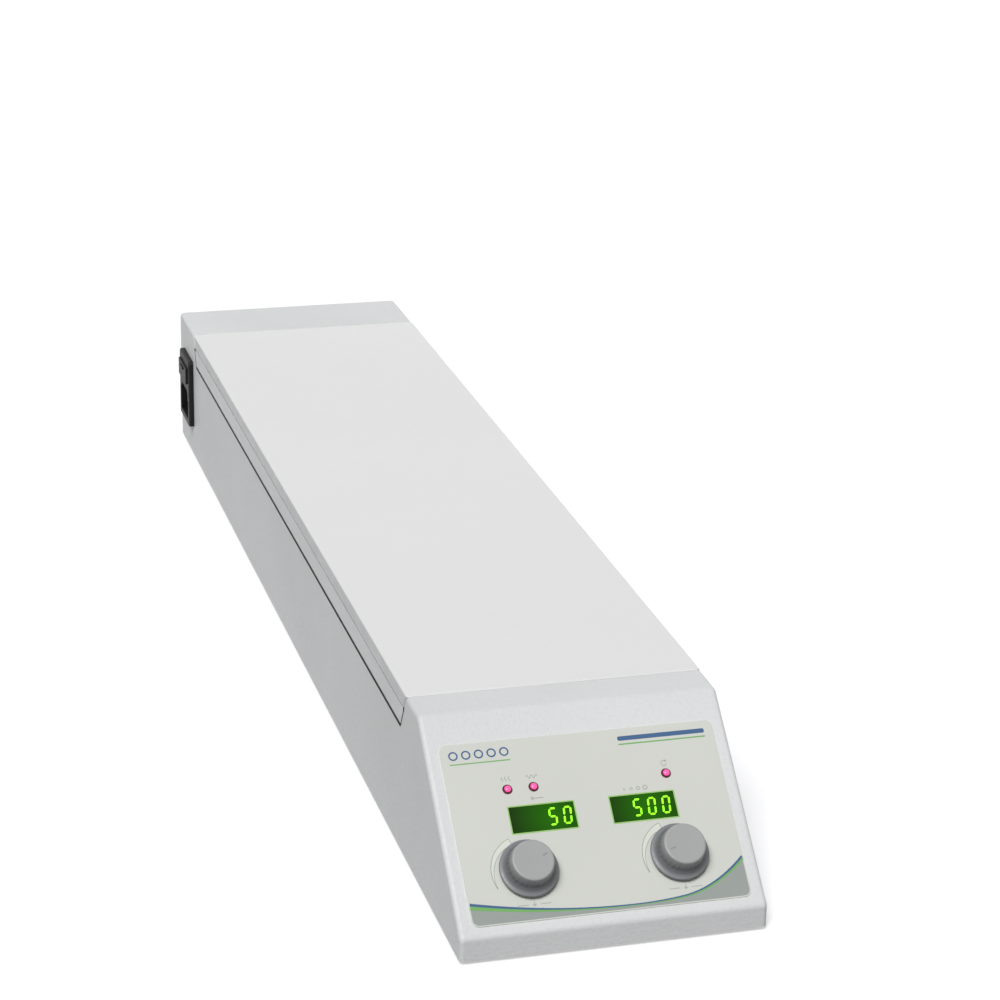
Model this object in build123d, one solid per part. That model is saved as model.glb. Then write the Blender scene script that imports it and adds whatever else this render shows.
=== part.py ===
from build123d import *
import math
import os

# Five-position hotplate stirrer: a long low housing with a sloped control console at its
# front, a white heating plate along its top and one belt-driven row of stirring magnets
# under that plate. Millimetres, +Z up, X across, Y from the console to the rear.
# The origin is on the bench, at the middle of the housing's footprint.

# Housing, outside
width = 130.0
depth = 664.0
body_height = 75.0
foot_proud = 1.5
lip_height = 10.0
slope_run = 73.3
console_depth = 92.4
rear_depth = 46.4
shoulder_lean = 9.9
plate_stack_height = 17.5

# Housing, walls and edges
wall = 2.5
ledge_width = 8.0
lip_radius = 3.0
brow_radius = 4.0
back_radius = 3.0
side_radius = 2.0

# Base cover, its screws and the feet
cover_thickness = 1.5
cover_clearance = 0.4
cover_screws_per_side = 5
cover_screw_inset = 14.0
boss_radius = 4.0
boss_height = 12.0
vent_rows = 9
vent_length = 36.0
vent_width = 3.0
vent_pitch = 7.0
foot_radius = 7.0
foot_stem_radius = 2.5
foot_barb_radius = 3.6
foot_barb_height = 2.0
foot_inset_x = 19.0
foot_inset_y = 60.0

# Screws: M3 pan and countersunk, M4 studs
screw_radius = 1.5
screw_head_radius = 2.75
screw_head_height = 1.6
countersink_radius = 3.0
screw_length = 9.0
hole_clearance = 0.1
stud_radius = 2.0
stud_grip = 3.5
nut_across_flats = 7.0
nut_height = 3.0
stud_tail = 1.5

# Heating plate, its tray, the heater and the insulation
plate_thickness = 6.8
plate_edge_radius = 0.9
plate_corner_radius = 1.5
shoulder_gap = 0.5
seam_gap = 0.8
seam_depth = 1.5
plate_gap = 0.6
tray_wall = 2.0
tray_floor = 1.5
tray_notch_radius = 2.0
heater_thickness = 1.5
heater_margin = 12.0
insulation_gap = 0.2
insulation_margin = 5.0
spacer_radius = 5.5
stud_inset_x = 25.0
sensor_radius = 4.0
sensor_height = 7.0
cutout_radius = 8.0
cutout_height = 8.0
cutout_blade_drop = 0.8
sensor_offset_x = 24.0
pocket_clearance = 0.5

# Stirring positions and rotors
position_count = 5
spindle_radius = 3.0
spindle_recess = 1.0
spindle_clearance = 0.03
magnet_radius = 6.0
magnet_height = 6.0
magnet_offset = 19.0
magnet_clearance = 0.05
carrier_width = 20.0
carrier_height = 9.0
carrier_headroom = 4.0
track_radius = 12.0
track_height = 4.5
rim_height = 1.0
rim_rise = 2.0
hub_radius = 5.0
hub_gap = 0.4

# Bearings and the deck that carries the drive
bearing_outer_radius = 7.5
bearing_height = 5.0
bearing_seat_clearance = 0.02
bearing_wall = 3.0
bearing_floor_gap = 2.3
bearing_flange_radius = 18.0
bearing_flange_height = 2.5
bearing_lip = 1.5
bearing_thread_depth = 3.5
clip_radius = 4.5
clip_height = 1.0
clip_gap = 0.3
deck_thickness = 2.0
pulley_headroom = 4.0
deck_motor_margin = 4.0
deck_rear_gap = 16.5
deck_flange = 8.0
post_radius = 4.0
post_inset = 6.0
post_gap = 2.2

# Motor, its pulley and the belts
motor_radius = 21.0
motor_floor_gap = 2.0
motor_offset = 58.0
motor_boss_radius = 5.0
motor_boss_height = 2.0
motor_shaft_radius = 2.5
motor_shaft_clearance = 0.05
motor_track_radius = 8.0
motor_screw_circle = 16.0
belt_thickness = 1.2
belt_width = 3.6
belt_clearance = 0.1

# Control panel, in its own plane: x across and s up the slope from the lip
overlay_margin = 6.0
overlay_height = 79.0
overlay_thickness = 0.5
overlay_radius = 3.0
overlay_s = 44.0
window_width = 27.6
window_height = 11.5
window_s = 47.9
temperature_window_x = -21.2
speed_window_x = 21.9
window_fit = 0.15
window_flange = 2.0
window_flange_thickness = 1.0
display_gap = 0.3
display_border = 1.5
board_drop = 12.5
board_thickness = 1.6
board_margin = 12.0
board_height = 74.0
board_s = 46.0
board_spacer_radius = 3.0
board_spacer_inset = 6.0
lamp_radius = 2.0
lamp_proud = 1.3
lamp_s = 61.6
lamp_places_x = (-33.7, -22.6, 34.5)
lamp_fit = 0.15

# Knobs and their push encoders
knob_offset_x = 32.0
knob_s = 26.0
knob_radius = 12.5
knob_skirt_height = 1.8
knob_neck_radius = 9.9
knob_neck_height = 4.6
knob_top_radius = 8.9
knob_height = 10.0
knob_edge_radius = 0.7
knob_gap = 1.5
knob_wall = 1.9
knob_roof = 1.4
push_travel = 1.0
encoder_size = 12.0
encoder_height = 7.5
encoder_floor = 0.7
encoder_bush_radius = 3.5
encoder_bush_top = 5.0
encoder_nut_flats = 10.0
encoder_nut_height = 2.0
shaft_radius = 3.0
shaft_clearance = 0.05
socket_clearance = 0.02
plunger_height = 1.2

# Power inlet with its fuse drawer, in the left wall near the rear
inlet_from_rear = 29.5
inlet_height = 37.5
inlet_flange_y = 31.0
inlet_flange_z = 40.0
inlet_proud = 3.0
inlet_corner_radius = 2.0
inlet_body_y = 27.0
inlet_body_z = 36.0
inlet_body_depth = 26.0
inlet_fit = 0.2
socket_y = 24.0
socket_z = 17.0
socket_depth = 16.0
socket_drop = 7.5
socket_chamfer = 4.0
contact_length = 13.0
contact_width = 4.0
contact_thickness = 2.0
contact_spread = 7.0
contact_raise = 2.0
contact_tail = 8.0
drawer_y = 22.0
drawer_z = 8.0
drawer_length = 24.0
drawer_raise = 10.5
drawer_fit = 0.15
drawer_face = 1.2
drawer_face_border = 0.8
fuse_radius = 2.6
fuse_length = 20.0
fuse_fit = 0.1

# Power switch in the rear wall
switch_x = 20.0
switch_height = 45.0
switch_frame_x = 15.0
switch_frame_z = 21.0
switch_frame_proud = 1.5
switch_body_x = 12.6
switch_body_z = 18.8
switch_body_depth = 17.0
switch_fit = 0.2
rocker_x = 9.6
rocker_half = 7.6
rocker_swing_fit = 0.6
rocker_side_fit = 0.2
rocker_crest = 3.2
rocker_valley = 1.9
rocker_back = 1.5
rocker_sink = 0.5
rocker_tilt = 8.0
rocker_pin_radius = 1.0
rocker_pin_clearance = 0.05

# Power board
power_board_reach = 0.5
power_board_y = 44.0
power_board_side_gap = 10.0
power_board_rear_gap = 4.0
power_board_lift = 6.0
transformer_size = (28.0, 24.0, 18.0)
transformer_inset = 4.0
choke_size = (16.0, 20.0, 14.0)
choke_gap = 8.0
choke_y = 4.0
capacitor_radius = 8.0
capacitor_height = 19.0
capacitor_inset = 6.0
capacitor_y = -6.0

# Wiring loom, from the power board to the control board along the right wall
loom_radius = 2.0
loom_bend = 5.0
loom_gap = 0.4
loom_board_inset = 8.0
loom_board_s = 52.0
loom_tail = 10.0

# Places worked out from the sizes above
front = -depth / 2
rear = depth / 2
base = foot_proud
top = base + body_height
shelf = top - plate_stack_height
side = width / 2
inner_side = side - wall
plate_front = front + console_depth
plate_rear = rear - rear_depth
plate_bottom = top - plate_thickness
tray_top = plate_bottom - plate_gap
tray_floor_top = shelf + tray_floor
cover_top = base + cover_thickness
pitch = (plate_rear - plate_front) / position_count
positions = [plate_front + pitch * (n + 0.5) for n in range(position_count)]
between_positions = [y + pitch / 2 for y in positions[:-1]]
motor_y = positions[0] - motor_offset

carrier_top = shelf - carrier_headroom
carrier_bottom = carrier_top - carrier_height
track_levels = [
    carrier_bottom - rim_height - 2 * track_height,
    carrier_bottom - track_height,
]
pulley_bottom = track_levels[0] - rim_height
deck_top = pulley_bottom - pulley_headroom
deck_bottom = deck_top - deck_thickness
motor_height = deck_bottom - cover_top - motor_floor_gap
upper_bearing_bottom = deck_bottom - bearing_height
lower_bearing_bottom = cover_top + bearing_floor_gap
hub_bottom = deck_bottom + hub_gap

cover_screw_x = inner_side - boss_radius + hole_clearance
loom_x = cover_screw_x - boss_radius - loom_gap - loom_radius
post_x = loom_x - loom_radius - post_gap - post_radius
deck_half = post_x + post_inset
deck_ends = (motor_y - motor_radius - deck_motor_margin, plate_rear - deck_rear_gap)

slope_angle = math.atan2(body_height - lip_height, slope_run)
panel = Plane(
    origin=(0, front, base + lip_height),
    x_dir=(1, 0, 0),
    z_dir=(0, -math.sin(slope_angle), math.cos(slope_angle)),
).location
window_flange_bottom = -wall - window_flange_thickness
overlay_width = width - 2 * overlay_margin
board_width = width - 2 * board_margin
board_top = -board_drop
knob_base = overlay_thickness + knob_gap
knob_top = knob_base + knob_height
shaft_top = knob_top - knob_roof
shaft_bottom = board_top + encoder_floor + plunger_height + push_travel + shaft_clearance

inlet_y = rear - inlet_from_rear
inlet_z = base + inlet_height
socket_centre_z = inlet_z - socket_drop
drawer_centre_z = inlet_z + drawer_raise
switch_z = base + switch_height
rocker_y = rear - rocker_sink


# Shapes used by several pieces
def slab(x_span, y_span, z_span):
    """A box between two limits along each axis."""
    sizes = [high - low for low, high in (x_span, y_span, z_span)]
    centre = [(low + high) / 2 for low, high in (x_span, y_span, z_span)]
    return Pos(*centre) * Box(*sizes)


def rod(x, y, z_span, radius):
    """An upright cylinder between two heights."""
    low, high = z_span
    return Pos(x, y, (low + high) / 2) * Cylinder(radius, high - low)


def panel_rod(x, s, n_span, radius):
    """A cylinder square to the console's slope."""
    low, high = n_span
    return panel * Pos(x, s, (low + high) / 2) * Cylinder(radius, high - low)


def panel_slab(x, s, size_x, size_s, n_span):
    """A box square to the console's slope."""
    low, high = n_span
    return panel * Pos(x, s, (low + high) / 2) * Box(size_x, size_s, high - low)


def across(points, half_width):
    """A side outline, given as (y, z) points, drawn out across the width."""
    face = make_face(Polyline(*points, close=True))
    return extrude(Plane.YZ * face, amount=half_width, both=True)


def corner_at(shape, y, z):
    """The vertex of a flat outline that lies nearest to a point."""
    return shape.vertices().sort_by(lambda v: (v.X - y) ** 2 + (v.Y - z) ** 2)[0]


def shoulder_y(z, gap):
    """Where the front and rear shoulders stand at a height, a gap away from each."""
    reach = shoulder_lean * (top - z) / (top - shelf)
    return plate_front + reach + gap, plate_rear - reach - gap


def between_shoulders(z_low, z_high, gap):
    """The side outline of a piece that fits between the two leaning shoulders."""
    low_front, low_rear = shoulder_y(z_low, gap)
    high_front, high_rear = shoulder_y(z_high, gap)
    return [(low_front, z_low), (high_front, z_high), (high_rear, z_high), (low_rear, z_low)]


def joined(pieces):
    """Several separate solids in one node."""
    return Compound(children=[solid for piece in pieces for solid in piece.solids()])


# Places that several pieces share
def cover_screw_places():
    span = depth - 2 * cover_screw_inset
    step = span / (cover_screws_per_side - 1)
    ys = [front + cover_screw_inset + step * n for n in range(cover_screws_per_side)]
    return [(sign * cover_screw_x, y) for sign in (-1, 1) for y in ys]


def foot_places():
    ys = (front + foot_inset_y, 0, rear - foot_inset_y)
    return [(sign * (side - foot_inset_x), y) for sign in (-1, 1) for y in ys]


def ledge_places():
    x = inner_side - ledge_width / 2
    return [(sign * x, y) for sign in (-1, 1) for y in between_positions]


def stud_places():
    return [(sign * (side - stud_inset_x), y) for sign in (-1, 1) for y in between_positions]


def post_places():
    ys = [plate_front, *between_positions, deck_ends[1] - post_inset]
    return [(sign * post_x, y) for sign in (-1, 1) for y in ys]


def motor_screw_places():
    reach = motor_screw_circle * math.sqrt(0.5)
    return [(i * reach, motor_y + j * reach) for i in (-1, 1) for j in (-1, 1)]


def bearing_screw_places():
    reach = (bearing_flange_radius + bearing_outer_radius + bearing_wall) / 2
    return [(sign * reach, y) for sign in (-1, 1) for y in positions]


def board_spacer_places():
    x = board_width / 2 - board_spacer_inset
    s = board_height / 2 - board_spacer_inset
    return [(i * x, board_s + j * s) for i in (-1, 1) for j in (-1, 1)]


def power_board_span():
    """The supply board's limits: from under the inlet's terminals to near the right wall."""
    left = -side + inlet_body_depth + contact_tail - power_board_reach
    right = inner_side - power_board_side_gap
    back = rear - wall - power_board_rear_gap
    return (left, right), (back - power_board_y, back)


def power_spacer_places():
    (left, right), (near, far) = power_board_span()
    xs = (left + board_spacer_inset, right - board_spacer_inset)
    return [(x, y) for x in xs for y in (near + board_spacer_inset, far - board_spacer_inset)]


# Housing and base
def housing():
    """One shell: sloped console, two low side walls with a ledge, and the rear block."""
    outline = [
        (front, base),
        (front, base + lip_height),
        (front + slope_run, top),
        (plate_front, top),
        (plate_front + shoulder_lean, shelf),
        (plate_rear - shoulder_lean, shelf),
        (plate_rear, top),
        (rear, top),
        (rear, base),
    ]
    sharp = make_face(Polyline(*outline, close=True))
    inner = offset(sharp, amount=-wall, kind=Kind.INTERSECTION)
    rounded = fillet(corner_at(sharp, front, base + lip_height), lip_radius)
    rounded = fillet(corner_at(rounded, front + slope_run, top), brow_radius)
    rounded = fillet(corner_at(rounded, rear, top), back_radius)
    shell = extrude(Plane.YZ * rounded, amount=side, both=True)
    ends = shell.edges().filter_by(
        lambda e: abs(abs(e.center().X) - side) < 1e-3
        and e.center().Z > base + 1e-3
        and not plate_front <= e.center().Y <= plate_rear
    )
    shell = fillet(ends, side_radius)
    shell -= extrude(Plane.YZ * inner, amount=inner_side, both=True)
    mouth = (base - 1, base + wall + 1)
    shell -= slab((-inner_side, inner_side), (front + wall, rear - wall), mouth)
    window_y = (plate_front + shoulder_lean + ledge_width, plate_rear - shoulder_lean - ledge_width)
    window_x = inner_side - ledge_width
    shell -= slab((-window_x, window_x), window_y, (shelf - wall - 1, shelf + 1))
    for x, y in cover_screw_places():
        shell += rod(x, y, (cover_top, cover_top + boss_height), boss_radius)
        shell -= rod(x, y, (cover_top - 1, base + screw_length + 1), screw_radius + hole_clearance)
    for x, y in ledge_places():
        shell -= rod(x, y, (shelf - wall - 1, shelf + 1), screw_radius + hole_clearance)
    through = (-wall - 1, 1)
    for x in (temperature_window_x, speed_window_x):
        opening_x, opening_s = window_width + 2 * window_fit, window_height + 2 * window_fit
        shell -= panel_slab(x, window_s, opening_x, opening_s, through)
    for x in lamp_places_x:
        shell -= panel_rod(x, lamp_s, through, lamp_radius + lamp_fit)
    for x in (-knob_offset_x, knob_offset_x):
        shell -= panel_rod(x, knob_s, through, encoder_bush_radius + hole_clearance)
    half_y, half_z = inlet_body_y / 2 + inlet_fit, inlet_body_z / 2 + inlet_fit
    shell -= slab(
        (-side - 1, -inner_side + 1),
        (inlet_y - half_y, inlet_y + half_y),
        (inlet_z - half_z, inlet_z + half_z),
    )
    half_x, half_z = switch_body_x / 2 + switch_fit, switch_body_z / 2 + switch_fit
    shell -= slab(
        (switch_x - half_x, switch_x + half_x),
        (rear - wall - 1, rear + 1),
        (switch_z - half_z, switch_z + half_z),
    )
    return shell


def base_cover():
    """The bottom sheet, with vent slots under the drive and countersunk screw holes."""
    half = inner_side - cover_clearance
    ends = (front + wall + cover_clearance, rear - wall - cover_clearance)
    sheet = slab((-half, half), ends, (base, cover_top))
    for y in (positions[0], positions[-1]):
        for n in range(vent_rows):
            slot_y = y + (n - (vent_rows - 1) / 2) * vent_pitch
            slot = extrude(SlotOverall(vent_length, vent_width), amount=cover_thickness + 2)
            sheet -= Pos(0, slot_y, base - 1) * slot
    for x, y in cover_screw_places():
        sheet -= Pos(x, y, (base + cover_top) / 2) * Cone(
            countersink_radius + hole_clearance, screw_radius + hole_clearance, cover_thickness
        )
    for x, y in foot_places():
        sheet -= rod(x, y, (base - 1, cover_top + 1), foot_stem_radius + hole_clearance)
    return sheet


def base_cover_screws():
    screws = []
    for x, y in cover_screw_places():
        head = Pos(x, y, (base + cover_top) / 2) * Cone(
            countersink_radius, screw_radius, cover_thickness
        )
        screws.append(head + rod(x, y, (cover_top, base + screw_length), screw_radius))
    return joined(screws)


def rubber_feet():
    feet = []
    for x, y in foot_places():
        foot = rod(x, y, (0, base), foot_radius)
        foot = fillet(foot.edges().group_by(Axis.Z)[0], foot_proud / 3)
        foot += rod(x, y, (base, cover_top), foot_stem_radius)
        foot += rod(x, y, (cover_top, cover_top + foot_barb_height), foot_barb_radius)
        feet.append(foot)
    return joined(feet)


# Heating plate and what lies under it
def heating_plate():
    """A thick cast plate with rounded edges and blind holes for its studs."""
    plate = across(between_shoulders(plate_bottom, top, shoulder_gap), side)
    uprights = plate.edges().filter_by(
        lambda e: abs(abs(e.center().X) - side) < 1e-3 and plate_bottom < e.center().Z < top
    )
    ends = uprights.filter_by(lambda e: abs(e.center().Z - (plate_bottom + top) / 2) < 1e-3)
    plate = fillet(ends, plate_corner_radius)
    plate = fillet(plate.faces().sort_by(Axis.Z)[-1].edges(), plate_edge_radius)
    for x, y in stud_places():
        plate -= rod(x, y, (plate_bottom - 1, plate_bottom + stud_grip), stud_radius + hole_clearance)
    return plate


def plate_tray():
    """A shallow tray that stands on the housing's ledge, with a shadow gap at its foot."""
    outline = make_face(
        Polyline(*between_shoulders(shelf + seam_gap, tray_top, shoulder_gap), close=True)
    )
    for y in shoulder_y(tray_top, shoulder_gap):
        outline = fillet(corner_at(outline, y, tray_top), tray_notch_radius)
    tray = extrude(Plane.YZ * outline, amount=side, both=True)
    inset = shoulder_gap + tray_wall
    tray -= across(between_shoulders(tray_floor_top, tray_top + 1, inset), side - tray_wall)
    foot_inset = shoulder_gap + seam_depth
    tray += across(between_shoulders(shelf, tray_floor_top, foot_inset), side - seam_depth)
    for x, y in ledge_places():
        tray -= rod(x, y, (shelf - 1, tray_floor_top + 1), screw_radius + hole_clearance)
    for x, y in stud_places():
        tray -= rod(x, y, (shelf - 1, tray_floor_top + 1), stud_radius + hole_clearance)
    return tray


def tray_screws():
    screws = []
    for x, y in ledge_places():
        shank = rod(x, y, (shelf - wall, tray_floor_top), screw_radius)
        head = rod(x, y, (tray_floor_top, tray_floor_top + screw_head_height), screw_head_radius)
        screws.append(shank + head)
    return joined(screws)


def plate_studs():
    """Studs from the plate down through the tray, each with its nut under the tray floor."""
    pieces = []
    for x, y in stud_places():
        tail = shelf - nut_height - stud_tail
        pieces.append(rod(x, y, (tail, plate_bottom + stud_grip), stud_radius))
        nut = extrude(RegularPolygon(nut_across_flats / 2, 6, major_radius=False), nut_height)
        nut = Pos(x, y, shelf - nut_height) * nut
        pieces.append(nut - rod(x, y, (tail, shelf + 1), stud_radius + hole_clearance))
    return joined(pieces)


def plate_spacers():
    """Ceramic sleeves that hold the hot plate clear of the tray."""
    span = (tray_floor_top, plate_bottom)
    return joined(
        rod(x, y, span, spacer_radius) - rod(x, y, span, stud_radius + hole_clearance)
        for x, y in stud_places()
    )


def plate_underlay(z_span, margin, hole_grow):
    """A sheet under the plate, with holes for the sleeves, the sensor and the cut-out."""
    low, high = z_span
    first, last = shoulder_y(low, shoulder_gap + tray_wall + margin)
    half = side - tray_wall - margin
    sheet = slab((-half, half), (first, last), z_span)
    for x, y in stud_places():
        sheet -= rod(x, y, z_span, spacer_radius + hole_grow)
    sheet -= rod(sensor_offset_x, positions[0], z_span, sensor_radius + hole_grow)
    sheet -= rod(-sensor_offset_x, positions[0], z_span, cutout_radius + hole_grow)
    return sheet


def heater_element():
    span = (plate_bottom - heater_thickness, plate_bottom)
    return plate_underlay(span, heater_margin, pocket_clearance)


def insulation_board():
    span = (tray_floor_top, plate_bottom - heater_thickness - insulation_gap)
    board = plate_underlay(span, insulation_margin, pocket_clearance)
    for x, y in ledge_places():
        head = (tray_floor_top, tray_floor_top + screw_head_height + pocket_clearance)
        board -= rod(x, y, head, screw_head_radius + pocket_clearance)
    return board


def temperature_sensor():
    body = (plate_bottom - sensor_height, plate_bottom)
    return rod(sensor_offset_x, positions[0], body, sensor_radius)


def thermal_cutout():
    """A disc thermostat held against the plate, with two blade terminals."""
    x, y = -sensor_offset_x, positions[0]
    body = rod(x, y, (plate_bottom - cutout_height, plate_bottom), cutout_radius)
    low = plate_bottom - cutout_height
    for sign in (-1, 1):
        blade_x = x + sign * cutout_radius / 2
        blade = (blade_x - contact_thickness / 2, blade_x + contact_thickness / 2)
        drop = (low - cutout_blade_drop, low)
        body += slab(blade, (y - contact_width / 2, y + contact_width / 2), drop)
    return body


# Control panel
def control_overlay():
    """The printed film on the slope, with its openings."""
    film = extrude(RectangleRounded(overlay_width, overlay_height, overlay_radius), overlay_thickness)
    film = panel * Pos(0, overlay_s, 0) * film
    through = (-1, overlay_thickness + 1)
    for x in (temperature_window_x, speed_window_x):
        opening_x, opening_s = window_width + 2 * window_fit, window_height + 2 * window_fit
        film -= panel_slab(x, window_s, opening_x, opening_s, through)
    for x in lamp_places_x:
        film -= panel_rod(x, lamp_s, through, lamp_radius + lamp_fit)
    for x in (-knob_offset_x, knob_offset_x):
        film -= panel_rod(x, knob_s, through, encoder_bush_radius + hole_clearance)
    return film


def display_window(x):
    """A tinted lens in the slope, held by a flange behind the wall."""
    lens = panel_slab(x, window_s, window_width, window_height, (-wall, overlay_thickness))
    flange_x, flange_s = window_width + 2 * window_flange, window_height + 2 * window_flange
    return lens + panel_slab(x, window_s, flange_x, flange_s, (window_flange_bottom, -wall))


def display_modules():
    span = (board_top, window_flange_bottom - display_gap)
    size_x, size_s = window_width + 2 * display_border, window_height + 2 * display_border
    places = (temperature_window_x, speed_window_x)
    return joined(panel_slab(x, window_s, size_x, size_s, span) for x in places)


def indicator_lamps():
    """Three round lamps on the board, each with a domed head through the panel."""
    centre = overlay_thickness + lamp_proud - lamp_radius
    return joined(
        panel_rod(x, lamp_s, (board_top, centre), lamp_radius)
        + panel * Pos(x, lamp_s, centre) * Sphere(lamp_radius)
        for x in lamp_places_x
    )


def control_board():
    return panel_slab(
        0, board_s, board_width, board_height, (board_top - board_thickness, board_top)
    )


def board_spacers():
    """Pillars of both boards."""
    pillars = [
        panel_rod(x, s, (board_top, -wall), board_spacer_radius) for x, s in board_spacer_places()
    ]
    lift = (cover_top, cover_top + power_board_lift)
    pillars += [rod(x, y, lift, board_spacer_radius) for x, y in power_spacer_places()]
    return joined(pillars)


# Knobs and encoders
def encoder_bodies():
    bodies = []
    for x in (-knob_offset_x, knob_offset_x):
        case_top = board_top + encoder_height
        case = panel_slab(x, knob_s, encoder_size, encoder_size, (board_top, case_top))
        case += panel_rod(x, knob_s, (case_top, encoder_bush_top), encoder_bush_radius)
        bore = (board_top + encoder_floor, encoder_bush_top + 1)
        bodies.append(case - panel_rod(x, knob_s, bore, shaft_radius + shaft_clearance))
    return joined(bodies)


def encoder_nuts():
    nuts = []
    for x in (-knob_offset_x, knob_offset_x):
        hexagon = RegularPolygon(encoder_nut_flats / 2, 6, major_radius=False)
        nut = panel * Pos(x, knob_s, overlay_thickness) * extrude(hexagon, encoder_nut_height)
        hole = (0, overlay_thickness + encoder_nut_height + 1)
        nuts.append(nut - panel_rod(x, knob_s, hole, encoder_bush_radius + hole_clearance))
    return joined(nuts)


def encoder_shaft(x):
    return panel_rod(x, knob_s, (shaft_bottom, shaft_top), shaft_radius)


def encoder_plunger(x):
    return panel_rod(x, knob_s, (shaft_bottom - plunger_height, shaft_bottom), shaft_radius)


def control_knob(x):
    """A plain knob: a flat skirt, a hollow sweep up to the neck and a narrower cap."""
    neck = (knob_neck_radius, knob_neck_height)
    skirt = (knob_radius - knob_edge_radius, knob_skirt_height)
    sweep = (
        (neck[0] + skirt[0]) / 2 - knob_edge_radius,
        (neck[1] + skirt[1]) / 2 - knob_edge_radius,
    )
    outline = (
        Polyline((0, 0), (knob_radius, 0), (knob_radius, knob_skirt_height - knob_edge_radius))
        + ThreePointArc(
            (knob_radius, knob_skirt_height - knob_edge_radius),
            (
                knob_radius - knob_edge_radius * (1 - math.sqrt(0.5)),
                knob_skirt_height - knob_edge_radius * (1 - math.sqrt(0.5)),
            ),
            skirt,
        )
        + ThreePointArc(skirt, sweep, neck)
        + Polyline(neck, (knob_top_radius, knob_height), (0, knob_height), (0, 0))
    )
    knob = revolve(Plane.XZ * make_face(outline), Axis.Z)
    rim = knob.edges().filter_by(GeomType.CIRCLE).group_by(Axis.Z)[-1]
    knob = fillet(rim, knob_edge_radius)
    bush_room = encoder_bush_top + push_travel + hole_clearance - knob_base
    cavity = Pos(0, 0, bush_room / 2) * Cylinder(knob_neck_radius - knob_wall, bush_room)
    socket_top = knob_height - knob_roof + socket_clearance
    socket = Pos(0, 0, socket_top / 2) * Cylinder(shaft_radius + socket_clearance, socket_top)
    return panel * Pos(x, knob_s, knob_base) * (knob - cavity - socket)


# Power inlet, fuse and switch
def power_inlet():
    """A moulded inlet in the left wall: socket below, fuse drawer bay above."""
    flange = extrude(
        RectangleRounded(inlet_flange_y, inlet_flange_z, inlet_corner_radius), inlet_proud
    )
    outward = Plane(origin=(-side, inlet_y, inlet_z), x_dir=(0, -1, 0), z_dir=(-1, 0, 0))
    flange = outward.location * flange
    rim = flange.faces().sort_by(Axis.X)[0].edges()
    flange = fillet(rim, inlet_proud / 3)
    half_y, half_z = inlet_body_y / 2, inlet_body_z / 2
    body = slab(
        (-side, -side + inlet_body_depth),
        (inlet_y - half_y, inlet_y + half_y),
        (inlet_z - half_z, inlet_z + half_z),
    )
    inlet = flange + body
    mouth = chamfer(Rectangle(socket_y, socket_z).vertices().group_by(Axis.Y)[-1], socket_chamfer)
    face = Plane(
        origin=(-side - inlet_proud, inlet_y, socket_centre_z), x_dir=(0, 1, 0), z_dir=(1, 0, 0)
    )
    inlet -= extrude(face * mouth, amount=socket_depth)
    half_y, half_z = drawer_y / 2 + drawer_fit, drawer_z / 2 + drawer_fit
    inlet -= slab(
        (-side - inlet_proud - 1, -side - inlet_proud + drawer_length + drawer_fit),
        (inlet_y - half_y, inlet_y + half_y),
        (drawer_centre_z - half_z, drawer_centre_z + half_z),
    )
    for y, z in contact_places():
        inlet -= contact_blade(y, z, hole_clearance)
    return inlet


def contact_places():
    """Two outer blades in a row and the earth blade above them."""
    return [
        (inlet_y - contact_spread, socket_centre_z - contact_raise),
        (inlet_y + contact_spread, socket_centre_z - contact_raise),
        (inlet_y, socket_centre_z + contact_raise),
    ]


def contact_blade(y, z, grow):
    """One blade, from inside the socket out through the back of the inlet."""
    back = -side - inlet_proud + socket_depth
    half_y, half_z = contact_thickness / 2 + grow, contact_width / 2 + grow
    return slab(
        (back - contact_length, -side + inlet_body_depth + contact_tail),
        (y - half_y, y + half_y),
        (z - half_z, z + half_z),
    )


def inlet_contacts():
    return joined(contact_blade(y, z, 0) for y, z in contact_places())


def fuse_drawer():
    """A drawer with a trough for one fuse and a lipped face."""
    face_x = -side - inlet_proud
    half_y, half_z = drawer_y / 2, drawer_z / 2
    drawer = slab(
        (face_x, face_x + drawer_length),
        (inlet_y - half_y, inlet_y + half_y),
        (drawer_centre_z - half_z, drawer_centre_z + half_z),
    )
    border = drawer_face_border
    drawer += slab(
        (face_x - drawer_face, face_x),
        (inlet_y - half_y - border, inlet_y + half_y + border),
        (drawer_centre_z - half_z - border, drawer_centre_z + half_z + border),
    )
    rest = fuse_radius + fuse_fit
    trough_x = (fuse_start() - fuse_fit, fuse_start() + fuse_length + fuse_fit)
    drawer -= slab(trough_x, (inlet_y - rest, inlet_y + rest), (drawer_centre_z, top))
    trough = Rot(0, 90, 0) * Cylinder(rest, trough_x[1] - trough_x[0])
    return drawer - Pos(sum(trough_x) / 2, inlet_y, drawer_centre_z) * trough


def fuse_start():
    return -side - inlet_proud + (drawer_length - fuse_length) / 2


def fuse_cartridge():
    body = Rot(0, 90, 0) * Cylinder(fuse_radius, fuse_length)
    return Pos(fuse_start() + fuse_length / 2, inlet_y, drawer_centre_z) * body


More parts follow.
